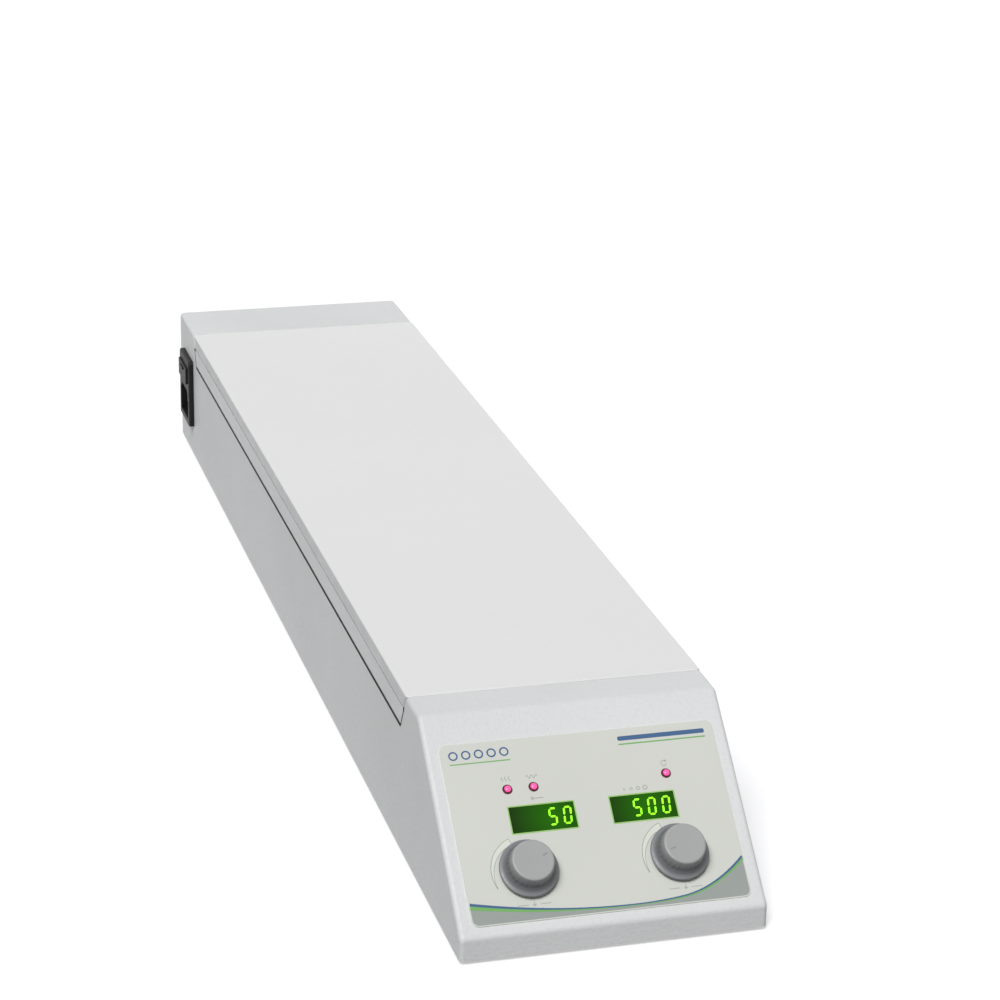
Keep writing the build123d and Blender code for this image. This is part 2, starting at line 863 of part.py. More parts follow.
def switch_frame():
    """The snap-in frame of the mains switch, with a well for its rocker."""
    half_x, half_z = switch_frame_x / 2, switch_frame_z / 2
    frame = slab(
        (switch_x - half_x, switch_x + half_x),
        (rear, rear + switch_frame_proud),
        (switch_z - half_z, switch_z + half_z),
    )
    frame = fillet(frame.faces().sort_by(Axis.Y)[-1].edges(), switch_frame_proud / 2)
    half_x, half_z = switch_body_x / 2, switch_body_z / 2
    frame += slab(
        (switch_x - half_x, switch_x + half_x),
        (rear - switch_body_depth, rear),
        (switch_z - half_z, switch_z + half_z),
    )
    well_x = rocker_x / 2 + rocker_side_fit
    well_z = rocker_half + rocker_swing_fit
    frame -= slab(
        (switch_x - well_x, switch_x + well_x),
        (rocker_y - rocker_half, rear + switch_frame_proud + 1),
        (switch_z - well_z, switch_z + well_z),
    )
    pin = Rot(0, 90, 0) * Cylinder(rocker_pin_radius, rocker_x + 2 * rocker_side_fit)
    return frame + Pos(switch_x, rocker_y, switch_z) * pin


def switch_rocker():
    """The rocker, tilted to its on side, on the frame's pin."""
    half = rocker_half
    points = [
        (-rocker_back, -half / 2),
        (0, -half),
        (rocker_crest, -half),
        (rocker_valley, 0),
        (rocker_crest, half),
        (0, half),
        (-rocker_back, half / 2),
    ]
    rocker = across(points, rocker_x / 2)
    rocker -= Rot(0, 90, 0) * Cylinder(rocker_pin_radius + rocker_pin_clearance, rocker_x + 1)
    return Pos(switch_x, rocker_y, switch_z) * Rot(rocker_tilt, 0, 0) * rocker


def power_board():
    """The supply board, with its transformer, choke and smoothing capacitor."""
    (left, right), (near, far) = power_board_span()
    low = cover_top + power_board_lift
    high = low + board_thickness
    y = (near + far) / 2
    board = slab((left, right), (near, far), (low, high))
    transformer_x = left + transformer_inset + transformer_size[0] / 2
    board += Pos(transformer_x, y, high + transformer_size[2] / 2) * Box(*transformer_size)
    choke_x = transformer_x + transformer_size[0] / 2 + choke_gap + choke_size[0] / 2
    board += Pos(choke_x, y + choke_y, high + choke_size[2] / 2) * Box(*choke_size)
    capacitor_x = right - capacitor_inset - capacitor_radius
    capacitor = (high, high + capacitor_height)
    board += rod(capacitor_x, y + capacitor_y, capacitor, capacitor_radius)
    return board


def wiring_loom():
    """A bundle that leaves the power board, lies on the base and rises to the control board."""
    (left, right), (near, far) = power_board_span()
    start_x, start_y = right - board_spacer_inset, near + board_spacer_inset
    start_z = cover_top + power_board_lift + board_thickness
    rest_z = cover_top + loom_radius
    back = board_top - board_thickness
    loom_board_x = board_width / 2 - loom_board_inset
    end = (panel * Pos(loom_board_x, loom_board_s, back)).position
    before_end = (panel * Pos(loom_board_x, loom_board_s, back - loom_tail)).position
    points = [
        Vector(start_x, start_y, start_z),
        Vector(start_x, start_y, start_z + loom_tail),
        Vector(loom_x, start_y - 2 * loom_tail, start_z + loom_tail / 2),
        Vector(loom_x, start_y - 4 * loom_tail, rest_z),
        Vector(loom_x, before_end.Y + 2 * loom_tail, rest_z),
        Vector(loom_board_x, before_end.Y + loom_tail / 2, (rest_z + before_end.Z) / 2),
        before_end,
        end,
    ]
    path = FilletPolyline(*points, radius=loom_bend)
    start = Plane(origin=path @ 0, z_dir=path % 0)
    return sweep(start * Circle(loom_radius), path=path)


# Stirring drive
def motor_deck():
    """A folded sheet that carries the motor and the five bearing housings."""
    half, ends = deck_half, deck_ends
    deck = slab((-half, half), ends, (deck_bottom, deck_top))
    for sign in (-1, 1):
        edges = sorted((sign * half, sign * (half - deck_thickness)))
        deck += slab(edges, ends, (deck_bottom - deck_flange, deck_bottom))
    for y in positions:
        deck -= rod(0, y, (deck_bottom - 1, deck_top + 1), bearing_outer_radius - bearing_lip)
    deck -= rod(0, motor_y, (deck_bottom - 1, deck_top + 1), motor_boss_radius + hole_clearance)
    for x, y in [*post_places(), *motor_screw_places(), *bearing_screw_places()]:
        deck -= rod(x, y, (deck_bottom - 1, deck_top + 1), screw_radius + hole_clearance)
    return deck


def deck_posts():
    posts = []
    for x, y in post_places():
        post = rod(x, y, (cover_top, deck_bottom), post_radius)
        thread = (deck_bottom - screw_length, deck_bottom + 1)
        posts.append(post - rod(x, y, thread, screw_radius + hole_clearance))
    return joined(posts)


def deck_screws():
    """Pan-head screws into the posts, the motor and the bearing housings."""
    lengths = [(place, screw_length - 1) for place in post_places()]
    lengths += [(place, screw_length / 2) for place in motor_screw_places()]
    lengths += [(place, bearing_flange_height) for place in bearing_screw_places()]
    return joined(
        rod(x, y, (deck_bottom - length, deck_top), screw_radius)
        + rod(x, y, (deck_top, deck_top + screw_head_height), screw_head_radius)
        for (x, y), length in lengths
    )


def bearing_housings():
    """Flanged tubes under the deck, each with a lip between its two bearings."""
    outer = bearing_outer_radius + bearing_wall
    bore = bearing_outer_radius + bearing_seat_clearance
    lip = bearing_outer_radius - bearing_lip
    housings = []
    for y in positions:
        tube = rod(0, y, (lower_bearing_bottom, deck_bottom), outer)
        tube += rod(0, y, (deck_bottom - bearing_flange_height, deck_bottom), bearing_flange_radius)
        tube -= rod(0, y, (lower_bearing_bottom - 1, lower_bearing_bottom + bearing_height), bore)
        tube -= rod(0, y, (upper_bearing_bottom, deck_bottom + 1), bore)
        tube -= rod(0, y, (lower_bearing_bottom, deck_bottom), lip)
        housings.append(tube)
    for x, y in bearing_screw_places():
        thread = (deck_bottom - bearing_thread_depth, deck_bottom + 1)
        hole = rod(x, y, thread, screw_radius + hole_clearance)
        housings = [housing - hole for housing in housings]
    return joined(housings)


def spindle_bearings():
    """Sealed ball bearings, two to a spindle."""
    bearings = []
    for y in positions:
        for low in (lower_bearing_bottom, upper_bearing_bottom):
            span = (low, low + bearing_height)
            ring = rod(0, y, span, bearing_outer_radius)
            bearings.append(ring - rod(0, y, span, spindle_radius + spindle_clearance))
    return joined(bearings)


def stir_spindle(y):
    """A steel spindle with its retaining collar under the lower bearing."""
    collar_top = lower_bearing_bottom - clip_gap
    spindle = rod(0, y, (collar_top - clip_height, carrier_top - spindle_recess), spindle_radius)
    return spindle + rod(0, y, (collar_top - clip_height, collar_top), clip_radius)


def magnet_carrier(y):
    """A moulded bar with pockets for two magnets, and a two-groove pulley under it."""
    length = 2 * (magnet_offset + carrier_width / 2)
    bar = extrude(SlotOverall(length, carrier_width), amount=carrier_height)
    carrier = Pos(0, y, carrier_bottom) * bar
    carrier += rod(0, y, (pulley_bottom, carrier_bottom), track_radius)
    for low in (pulley_bottom, track_levels[0] + track_height):
        carrier += rod(0, y, (low, low + rim_height), track_radius + rim_rise)
    carrier += rod(0, y, (hub_bottom, pulley_bottom), hub_radius)
    for sign in (-1, 1):
        pocket = (carrier_top - magnet_height - magnet_clearance, carrier_top + 1)
        carrier -= rod(sign * magnet_offset, y, pocket, magnet_radius + magnet_clearance)
    return carrier - rod(0, y, (hub_bottom - 1, carrier_top + 1), spindle_radius + socket_clearance)


def stir_magnets(y):
    span = (carrier_top - magnet_height, carrier_top)
    return joined(rod(sign * magnet_offset, y, span, magnet_radius) for sign in (-1, 1))


def drive_motor():
    """A flat motor under the deck, with its pilot boss in the deck's hole."""
    case = rod(0, motor_y, (deck_bottom - motor_height, deck_bottom), motor_radius)
    case = fillet(case.edges().group_by(Axis.Z)[0], wall / 2)
    case += rod(0, motor_y, (deck_bottom, deck_bottom + motor_boss_height), motor_boss_radius)
    bore = (deck_bottom - motor_height / 2, deck_bottom + motor_boss_height + 1)
    case -= rod(0, motor_y, bore, motor_shaft_radius + motor_shaft_clearance)
    for x, y in motor_screw_places():
        thread = (deck_bottom - screw_length / 2 - 1, deck_bottom + 1)
        case -= rod(x, y, thread, screw_radius + hole_clearance)
    return case


def motor_shaft():
    low = deck_bottom - motor_height / 2 + motor_shaft_clearance
    high = track_levels[0] + track_height + rim_height
    return rod(0, motor_y, (low, high), motor_shaft_radius)


def motor_pulley():
    """A single-groove pulley level with the rotors' lower groove."""
    low, high = pulley_bottom, track_levels[0] + track_height + rim_height
    pulley = rod(0, motor_y, (low, high), motor_track_radius)
    for level in (low, high - rim_height):
        pulley += rod(0, motor_y, (level, level + rim_height), motor_track_radius + rim_rise)
    return pulley - rod(0, motor_y, (low - 1, high + 1), motor_shaft_radius + socket_clearance)


def belt_loop(ends, level):
    """A flat belt round two pulleys, given as (y, radius), in one groove."""
    def hull(grow):
        circles = Sketch() + [Pos(0, y) * Circle(radius + grow) for y, radius in ends]
        return make_hull(circles.edges())

    low = track_levels[level] + (track_height - belt_width) / 2
    band = hull(belt_clearance + belt_thickness) - hull(belt_clearance)
    return Pos(0, 0, low) * extrude(band, amount=belt_width)


def drive_belts():
    """The motor's belt, then one belt between each pair of neighbours, by turns low and high."""
    stations = [(motor_y, motor_track_radius)] + [(y, track_radius) for y in positions]
    return joined(
        belt_loop(stations[n : n + 2], n % 2) for n in range(len(stations) - 1)
    )


# Every piece, by name
def all_pieces():
    """Each node's name and its shape."""
    yield "housing", housing()
    yield "base_cover", base_cover()
    yield "base_cover_screws", base_cover_screws()
    yield "rubber_feet", rubber_feet()
    yield "heating_plate", heating_plate()
    yield "plate_tray", plate_tray()
    yield "tray_screws", tray_screws()
    yield "plate_studs", plate_studs()
    yield "plate_spacers", plate_spacers()
    yield "heater_element", heater_element()
    yield "insulation_board", insulation_board()
    yield "temperature_sensor", temperature_sensor()
    yield "thermal_cutout", thermal_cutout()
    yield "control_overlay", control_overlay()
    yield "temperature_window", display_window(temperature_window_x)
    yield "speed_window", display_window(speed_window_x)
    yield "display_modules", display_modules()
    yield "indicator_lamps", indicator_lamps()
    yield "control_board", control_board()
    yield "board_spacers", board_spacers()
    yield "encoder_bodies", encoder_bodies()
    yield "encoder_nuts", encoder_nuts()
    for name, x in (("temperature", -knob_offset_x), ("speed", knob_offset_x)):
        yield f"{name}_knob", control_knob(x)
        yield f"{name}_shaft", encoder_shaft(x)
        yield f"{name}_plunger", encoder_plunger(x)
    yield "power_inlet", power_inlet()
    yield "inlet_contacts", inlet_contacts()
    yield "fuse_drawer", fuse_drawer()
    yield "fuse_cartridge", fuse_cartridge()
    yield "switch_frame", switch_frame()
    yield "switch_rocker", switch_rocker()
    yield "power_board", power_board()
    yield "wiring_loom", wiring_loom()
    yield "motor_deck", motor_deck()
    yield "deck_posts", deck_posts()
    yield "deck_screws", deck_screws()
    yield "bearing_housings", bearing_housings()
    yield "spindle_bearings", spindle_bearings()
    yield "drive_motor", drive_motor()
    yield "motor_shaft", motor_shaft()
    yield "motor_pulley", motor_pulley()
    yield "drive_belts", drive_belts()
    for n, y in enumerate(positions, start=1):
        yield f"stir_spindle_{n}", stir_spindle(y)
        yield f"magnet_carrier_{n}", magnet_carrier(y)
        yield f"stir_magnets_{n}", stir_magnets(y)


os.makedirs("parts", exist_ok=True)
for node, shape in all_pieces():
    export_step(shape, f"parts/{node}.step")
print("positions", [round(y, 3) for y in positions], "motor", round(motor_y, 3))
print("slope", round(math.degrees(slope_angle), 4), "knob normal", panel.orientation)
print("rocker", switch_x, rocker_y, switch_z, "inlet", inlet_y, inlet_z)
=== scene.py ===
"""Looks of a five-position hotplate stirrer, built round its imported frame.

Sizes are in millimetres until a mesh is placed, and the placed mesh is in metres. The console's
own plane is used for everything on it: x across, s up the slope from the lip, n out of the panel.
"""

import logging
import math
from collections.abc import Callable, Iterable, Sequence
from dataclasses import dataclass, field
from enum import Enum

import bmesh
import bpy
from mathutils import Matrix, Vector

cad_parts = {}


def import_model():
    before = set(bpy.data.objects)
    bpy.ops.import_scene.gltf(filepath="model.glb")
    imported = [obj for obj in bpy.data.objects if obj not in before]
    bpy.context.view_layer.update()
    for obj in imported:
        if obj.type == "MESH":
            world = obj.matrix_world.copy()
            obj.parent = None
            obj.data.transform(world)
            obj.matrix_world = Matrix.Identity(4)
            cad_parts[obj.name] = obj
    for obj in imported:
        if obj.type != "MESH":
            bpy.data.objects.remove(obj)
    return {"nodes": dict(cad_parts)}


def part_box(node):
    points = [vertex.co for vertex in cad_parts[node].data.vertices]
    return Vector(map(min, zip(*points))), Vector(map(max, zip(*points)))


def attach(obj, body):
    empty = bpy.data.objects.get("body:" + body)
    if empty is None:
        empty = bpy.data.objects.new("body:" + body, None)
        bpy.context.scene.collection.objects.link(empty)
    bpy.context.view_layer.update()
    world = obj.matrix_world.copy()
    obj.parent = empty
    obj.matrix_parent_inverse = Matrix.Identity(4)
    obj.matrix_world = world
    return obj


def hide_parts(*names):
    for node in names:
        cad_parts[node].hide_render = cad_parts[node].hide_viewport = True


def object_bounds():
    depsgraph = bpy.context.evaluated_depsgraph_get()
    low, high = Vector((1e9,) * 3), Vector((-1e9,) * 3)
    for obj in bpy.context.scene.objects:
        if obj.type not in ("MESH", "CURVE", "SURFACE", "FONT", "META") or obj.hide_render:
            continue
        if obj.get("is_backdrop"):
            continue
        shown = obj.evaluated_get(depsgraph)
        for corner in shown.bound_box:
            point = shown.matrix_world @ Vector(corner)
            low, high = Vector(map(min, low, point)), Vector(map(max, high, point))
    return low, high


MM = 0.001
LOG = logging.getLogger("stirrer")
Point = tuple[float, float]
Point3 = tuple[float, float, float]
Colour = tuple[float, float, float]
WHITE: Colour = (1.0, 1.0, 1.0)
NOISE_RANGE = (0.3, 0.7)


class Body(Enum):
    """The moving groups of the instrument that carry new pieces."""

    INSTRUMENT = "instrument"
    TEMPERATURE_DIAL = "temperature_dial"
    SPEED_DIAL = "speed_dial"
    FUSE_CARRIER = "fuse_carrier"
    POWER_ROCKER = "power_rocker"


def tint(red: int, green: int, blue: int) -> Colour:
    """Turns a colour as it shows on a screen into the linear one that a shader takes.

    Args:
        red: Red as shown, from 0 to 255.
        green: Green as shown.
        blue: Blue as shown.

    Returns:
        The linear colour.
    """

    def channel(value: int) -> float:
        """One channel, from shown to linear."""
        share = value / 255
        return share / 12.92 if share <= 0.04045 else ((share + 0.055) / 1.055) ** 2.4

    return channel(red), channel(green), channel(blue)


class Graph:
    """Builds a node tree, step by step."""

    def __init__(self, owner: bpy.types.Material | bpy.types.World) -> None:
        """Starts from the owner's node tree.

        Args:
            owner: The material or the world.
        """
        owner.use_nodes = True
        self.owner = owner
        self.tree = owner.node_tree

    def add(self, kind: str, **settings: object) -> bpy.types.Node:
        """Adds a node.

        Args:
            kind: The node's type.
            settings: Its properties, by name.

        Returns:
            The new node.
        """
        node = self.tree.nodes.new(kind)
        for key, value in settings.items():
            setattr(node, key, value)
        return node

    def plug(self, target: bpy.types.NodeSocket, value: object) -> None:
        """Links a socket to another, or sets it to a plain value.

        Args:
            target: The socket that takes the value.
            value: A socket, a number or a tuple.
        """
        if isinstance(value, bpy.types.NodeSocket):
            self.tree.links.new(value, target)
        elif isinstance(value, tuple) and len(value) == 3 and target.type == "RGBA":
            target.default_value = (*value, 1.0)
        else:
            target.default_value = value

    def join(self, kind: str, sockets: dict[int | str, object], **settings: object) -> bpy.types.Node:
        """Adds a node with its inputs linked or set.

        Args:
            kind: The node's type.
            sockets: Values or sockets, by the input's name or number.
            settings: The node's properties, by name.

        Returns:
            The new node.
        """
        node = self.add(kind, **settings)
        for key, value in sockets.items():
            self.plug(node.inputs[key], value)
        return node

    def show(self, output: str, other: bpy.types.Node, seen: bpy.types.Node) -> None:
        """Shows one shader to the camera, in gloss and through glass, and another to all other rays.

        Args:
            output: The output node's type.
            other: The shader for all other rays.
            seen: The shader that is seen.
        """
        path = self.add("ShaderNodeLightPath")
        total = path.outputs["Is Camera Ray"]
        for name in ("Is Glossy Ray", "Is Transmission Ray"):
            both = {0: total, 1: path.outputs[name]}
            total = self.join("ShaderNodeMath", both, operation="ADD", use_clamp=True).outputs[0]
        mix = self.join("ShaderNodeMixShader", {0: total, 1: other.outputs[0], 2: seen.outputs[0]})
        self.join(output, {"Surface": mix.outputs[0]})


class Shader(Graph):
    """Builds one material round its principled shader."""

    def __init__(self, name: str) -> None:
        """Starts a material with its principled shader.

        Args:
            name: The material's name.
        """
        super().__init__(bpy.data.materials.new(name))
        self.skin = self.tree.nodes["Principled BSDF"]
        self.coordinates = self.add("ShaderNodeTexCoord")

    def set(self, **sockets: object) -> None:
        """Sets the principled shader's sockets, with an underscore for each space.

        Args:
            sockets: Values or sockets by name, such as Base_Color.
        """
        for name, value in sockets.items():
            self.plug(self.skin.inputs[name.replace("_", " ")], value)

    def place(self, turn: Sequence[float] = (0, 0, 0),
              scale: Sequence[float] = (1, 1, 1)) -> bpy.types.NodeSocket:
        """Object coordinates, turned and scaled.

        Args:
            turn: Turn about each axis, in radians.
            scale: Scale along each axis.

        Returns:
            The mapped coordinates.
        """
        sockets = {"Vector": self.coordinates.outputs["Object"], "Rotation": turn, "Scale": scale}
        return self.join("ShaderNodeMapping", sockets).outputs["Vector"]

    def noise(self, scale: float, detail: float = 2.0, rough: float = 0.5,
              where: bpy.types.NodeSocket | None = None) -> bpy.types.NodeSocket:
        """A noise pattern.

        Args:
            scale: Features to the metre.
            detail: Octaves.
            rough: How strong the fine octaves are.
            where: The coordinates, or none for the object's own.

        Returns:
            The noise, from 0 to 1.
        """
        sockets = {"Vector": where or self.coordinates.outputs["Object"], "Scale": scale,
                   "Detail": detail, "Roughness": rough}
        return self.join("ShaderNodeTexNoise", sockets).outputs["Fac"]

    def spread(self, value: bpy.types.NodeSocket, low: float, high: float, start: float = 0.0,
               end: float = 1.0) -> bpy.types.NodeSocket:
        """Maps a value from one range to another, and keeps it there.

        Args:
            value: The value.
            low: The result at start.
            high: The result at end.
            start: The value's low end.
            end: The value's high end.

        Returns:
            The mapped value.
        """
        sockets = {"Value": value, "From Min": start, "From Max": end, "To Min": low, "To Max": high}
        return self.join("ShaderNodeMapRange", sockets).outputs["Result"]

    def vary(self, noise: bpy.types.NodeSocket, low: float, high: float) -> bpy.types.NodeSocket:
        """Spreads the part of its range that a noise mostly takes."""
        return self.spread(noise, low, high, *NOISE_RANGE)

    def mix(self, share: object, first: object, second: object) -> bpy.types.NodeSocket:
        """Mixes two colours.

        Args:
            share: How much of the second colour, as a socket or a number.
            first: The first colour or socket.
            second: The second colour or socket.

        Returns:
            The mixed colour.
        """
        return self.join("ShaderNodeMix", {0: share, 6: first, 7: second}, data_type="RGBA").outputs[2]

    def sum(self, kind: str, first: object, second: object) -> bpy.types.NodeSocket:
        """Works out one step of arithmetic.

        Args:
            kind: The operation, such as MULTIPLY.
            first: The first value.
            second: The second value.

        Returns:
            The result.
        """
        return self.join("ShaderNodeMath", {0: first, 1: second}, operation=kind).outputs[0]

    def along(self, source: str, direction: Point3) -> bpy.types.NodeSocket:
        """How far a coordinate goes along a direction.

        Args:
            source: The coordinate, Object or Normal.
            direction: The direction, whose length scales the result.

        Returns:
            The product of both.
        """
        sockets = {0: self.coordinates.outputs[source], 1: direction}
        return self.join("ShaderNodeVectorMath", sockets, operation="DOT_PRODUCT").outputs["Value"]

    def bump(self, height: bpy.types.NodeSocket, depth: float, strength: float,
             under: bpy.types.NodeSocket | None = None) -> bpy.types.NodeSocket:
        """Roughens the surface by a pattern.

        Args:
            height: The pattern, from 0 to 1.
            depth: Its height, in metres.
            strength: Its share.
            under: A coarser bump that lies under it.

        Returns:
            The bumped normal.
        """
        node = self.join("ShaderNodeBump", {"Strength": strength, "Distance": depth, "Height": height})
        if under is not None:
            self.plug(node.inputs["Normal"], under)
        return node.outputs["Normal"]


def shade(colour: Colour, factor: float) -> Colour:
    """A darker or lighter tone of a colour."""
    return tuple(min(1.0, value * factor) for value in colour)


@dataclass(frozen=True)
class Finish:
    """A surface finish, with the record's slot that it stands for."""

    name: str
    slot: str

    def paint(self, shader: Shader) -> None:
        """Lays the finish on a new material; each kind of finish has its own way."""
        raise NotImplementedError

    def make(self) -> bpy.types.Material:
        """Builds the material.

        Returns:
            The new material.
        """
        shader = Shader(self.name)
        self.paint(shader)
        return shader.owner


@dataclass(frozen=True)
class PowderPaint(Finish):
    """Stoved powder paint with a fine texture."""

    colour: Colour
    grain: float = 560.0
    depth: float = 0.00030
    rough: float = 0.5
    cloud: float = 9.0
    tones: Point3 = (0.93, 1.045, 0.8)
    speck: float = 0.22

    def paint(self, shader: Shader) -> None:
        """Lays the paint on a new material.

        Args:
            shader: The material's shader.
        """
        cloud = shader.noise(self.cloud, 3.0)
        grain = shader.noise(self.grain, 4.0, 0.6)
        fine = shader.noise(self.grain * 3.1, 2.0)
        dark, light, speck = (shade(self.colour, tone) for tone in self.tones)
        base = shader.mix(shader.vary(cloud, 0.15, 0.85), dark, light)
        specks = shader.spread(grain, 0.0, self.speck, 0.5, 0.72)
        coarse = shader.bump(grain, self.depth, 0.75)
        shader.set(
            Base_Color=shader.mix(specks, base, speck),
            Roughness=shader.vary(fine, self.rough - 0.08, self.rough + 0.1),
            Normal=shader.bump(fine, self.depth * 0.3, 0.5, coarse),
        )


@dataclass(frozen=True)
class SmoothCoat(Finish):
    """A smooth hard coat or moulded plastic, with a faint orange peel."""

    colour: Colour
    rough: float = 0.3
    peel: float = 260.0
    depth: float = 0.00002
    mottle: float = 0.035
    gloss: float = 0.5
    cloud: float = 14.0

    def paint(self, shader: Shader) -> None:
        """Lays the coat on a new material.

        Args:
            shader: The material's shader.
        """
        cloud = shader.noise(self.cloud, 4.0)
        peel = shader.noise(self.peel, 2.0)
        dark = shade(self.colour, 1 - self.mottle)
        light = shade(self.colour, 1 + self.mottle)
        shader.set(
            Base_Color=shader.mix(shader.vary(cloud, 0.0, 1.0), dark, light),
            Roughness=shader.vary(peel, self.rough * 0.85, self.rough * 1.2),
            Specular_IOR_Level=self.gloss,
            Normal=shader.bump(peel, self.depth, 0.6),
        )


@dataclass(frozen=True)
class PlateCoat(Finish):
    """The plate's pale enamel, with its side faces painted greyer as shade."""

    colour: Colour
    # The grey of the side faces is painted shade.
    edge: Colour
    rough: float = 0.33
    cloud: float = 7.0
    specks: float = 1500.0
    worn: float = 0.96

    def paint(self, shader: Shader) -> None:
        """Lays the enamel on a new material.

        Args:
            shader: The material's shader.
        """
        # Faces that turn away from up take the grey colour: painted shade on the plate's sides. The same
        # grey also makes the random specks.
        split = shader.join("ShaderNodeSeparateXYZ", {0: shader.coordinates.outputs["Normal"]})
        up = shader.spread(split.outputs["Z"], 0.0, 1.0, 0.25, 0.7)
        cloud = shader.noise(self.cloud, 3.0)
        specks = shader.noise(self.specks, 2.0)
        pale = shader.mix(shader.spread(cloud, 0.0, 0.5, 0.35, 0.7), self.colour,
                          shade(self.colour, self.worn))
        pale = shader.mix(shader.spread(specks, 0.0, 0.1, 0.6, 0.75), pale, self.edge)
        shader.set(
            Base_Color=shader.mix(up, self.edge, pale),
            Roughness=shader.vary(shader.noise(190.0), self.rough * 0.85, self.rough * 1.25),
            Normal=shader.bump(specks, 0.00001, 0.5),
        )


@dataclass(frozen=True)
class LitLens(Finish):
    """A dark green display window, brighter where its lit figures shine through it."""

    centre: Point3
    reach: float = 0.019
    edge: Colour = tint(20, 44, 4)
    middle: Colour = tint(30, 96, 0)
    gloss: float = 0.1
    glow: float = 0.25

    def paint(self, shader: Shader) -> None:
        """Lays the window's colours on a new material.

        Args:
            shader: The material's shader.
        """
        ends = {0: shader.coordinates.outputs["Object"], 1: self.centre}
        away = shader.join("ShaderNodeVectorMath", ends, operation="DISTANCE")
        near = shader.spread(away.outputs["Value"], 1.0, 0.0, 0.002, self.reach)
        colour = shader.mix(near, self.edge, self.middle)
        shader.set(
            Base_Color=colour,
            Roughness=shader.vary(shader.noise(400.0), 0.3, 0.4),
            Specular_IOR_Level=self.gloss,
            Emission_Color=colour,
            Emission_Strength=self.glow,
        )


@dataclass(frozen=True)
class KnobPlastic(Finish):
    """Grey moulded plastic, matt, with painted light and shade by height along the knob's axis: a darker
    shaded neck and a paler lit wall and top.
    """

    lean: float
    level: float
    skirt: Colour = tint(128, 131, 134)
    # The neck's darker tone is painted shade, and the wall's and the top's paler tones are painted light.
    neck: Colour = tint(98, 101, 103)
    wall: Colour = tint(146, 148, 149)
    top: Colour = tint(170, 172, 172)
    neck_shade_span: Point = (1.4, 2.8)
    wall_light_span: Point = (4.6, 9.0)
    top_light_span: Point = (9.4, 9.9)
    fine: float = 1100.0
    cloud: float = 160.0

    def paint(self, shader: Shader) -> None:
        """Lays the knob's tones on a new material.

        Args:
            shader: The material's shader.
        """
        rise = shader.along("Object", (0.0, -math.sin(self.lean) / MM, math.cos(self.lean) / MM))
        height = shader.sum("SUBTRACT", rise, self.level / MM)
        colour: object = self.skirt
        # Painted light and shade, laid by height over the skirt's grey.
        tones = (self.neck_shade_span, self.neck), (self.wall_light_span, self.wall), (self.top_light_span, self.top)
        for span, tone in tones:
            colour = shader.mix(shader.spread(height, 0.0, 1.0, *span), colour, tone)
        fine = shader.noise(self.fine, 3.0)
        cloud = shader.noise(self.cloud, 2.0)
        worn = shader.mix(shader.spread(cloud, 0.0, 0.08, 0.35, 0.7), colour, self.top)
        shader.set(
            Base_Color=worn,
            Roughness=shader.vary(fine, 0.36, 0.52),
            Normal=shader.bump(fine, 0.00004, 0.6),
        )


class Lay(Enum):
    """Which way the marks of a tool run on bare metal."""

    ALONG_X = (0.04, 1.0, 1.0)
    ALONG_Y = (1.0, 0.04, 1.0)
    ROUND_Z = (1.0, 1.0, 0.0)


@dataclass(frozen=True)
class BareMetal(Finish):
    """Plated, ground or turned metal."""

    colour: Colour
    lay: Lay = Lay.ALONG_Y
    rough: float = 0.32
    marks: float = 2600.0
    spangle: float = 0.0
    spangles: float = 170.0
    cloud: float = 60.0
    dark: float = 0.82

    def paint(self, shader: Shader) -> None:
        """Lays the metal on a new material.

        Args:
            shader: The material's shader.
        """
        lines = shader.noise(self.marks, 3.0, 0.6, shader.place(scale=self.lay.value))
        cloud = shader.noise(self.cloud, 3.0)
        dark = shade(self.colour, self.dark)
        base = shader.mix(shader.spread(cloud, 0.0, 1.0, 0.3, 0.75), dark, self.colour)
        if self.spangle:
            sockets = {"Vector": shader.coordinates.outputs["Object"], "Scale": self.spangles}
            cells = shader.join("ShaderNodeTexVoronoi", sockets)
            base = shader.mix(shader.spread(cells.outputs["Color"], 0.0, self.spangle), base, dark)
        shader.set(
            Base_Color=base,
            Metallic=1.0,
            Roughness=shader.spread(lines, self.rough * 0.7, self.rough * 1.35, 0.25, 0.75),
            Normal=shader.bump(lines, 0.000015, 0.5),
        )


@dataclass(frozen=True)
class LitPart(Finish):
    """Something that glows, such as a bar of a lit figure."""

    colour: Colour
    glow: float

    def paint(self, shader: Shader) -> None:
        """Lays the glowing surface on a new material.

        Args:
            shader: The material's shader.
        """
        flicker = shader.vary(shader.noise(900.0, 2.0), 0.9, 1.06)
        shader.set(
            Base_Color=self.colour,
            Roughness=0.35,
            Emission_Color=self.colour,
            Emission_Strength=shader.sum("MULTIPLY", flicker, self.glow),
        )


@dataclass(frozen=True)
class LampDome(Finish):
    """A lit lamp: a bright core and a dark outer ring of painted shade, by how far the dome leans from the
    panel.
    """

    core: Colour
    rim_shade: Colour
    lean: float
    glow: float = 0.75

    def paint(self, shader: Shader) -> None:
        """Lays the lamp's core and its dark outer ring of painted shade on a new material.

        Args:
            shader: The material's shader.
        """
        facing = shader.along("Normal", (0.0, -math.sin(self.lean), math.cos(self.lean)))
        core = shader.spread(facing, 0.0, 1.0, 0.66, 0.8)
        glow = shader.sum("MULTIPLY", core, self.glow)
        shader.set(
            Base_Color=shader.mix(core, self.rim_shade, self.core),
            Roughness=shader.vary(shader.noise(1500.0), 0.18, 0.3),
            Emission_Color=self.core,
            Emission_Strength=glow,
        )


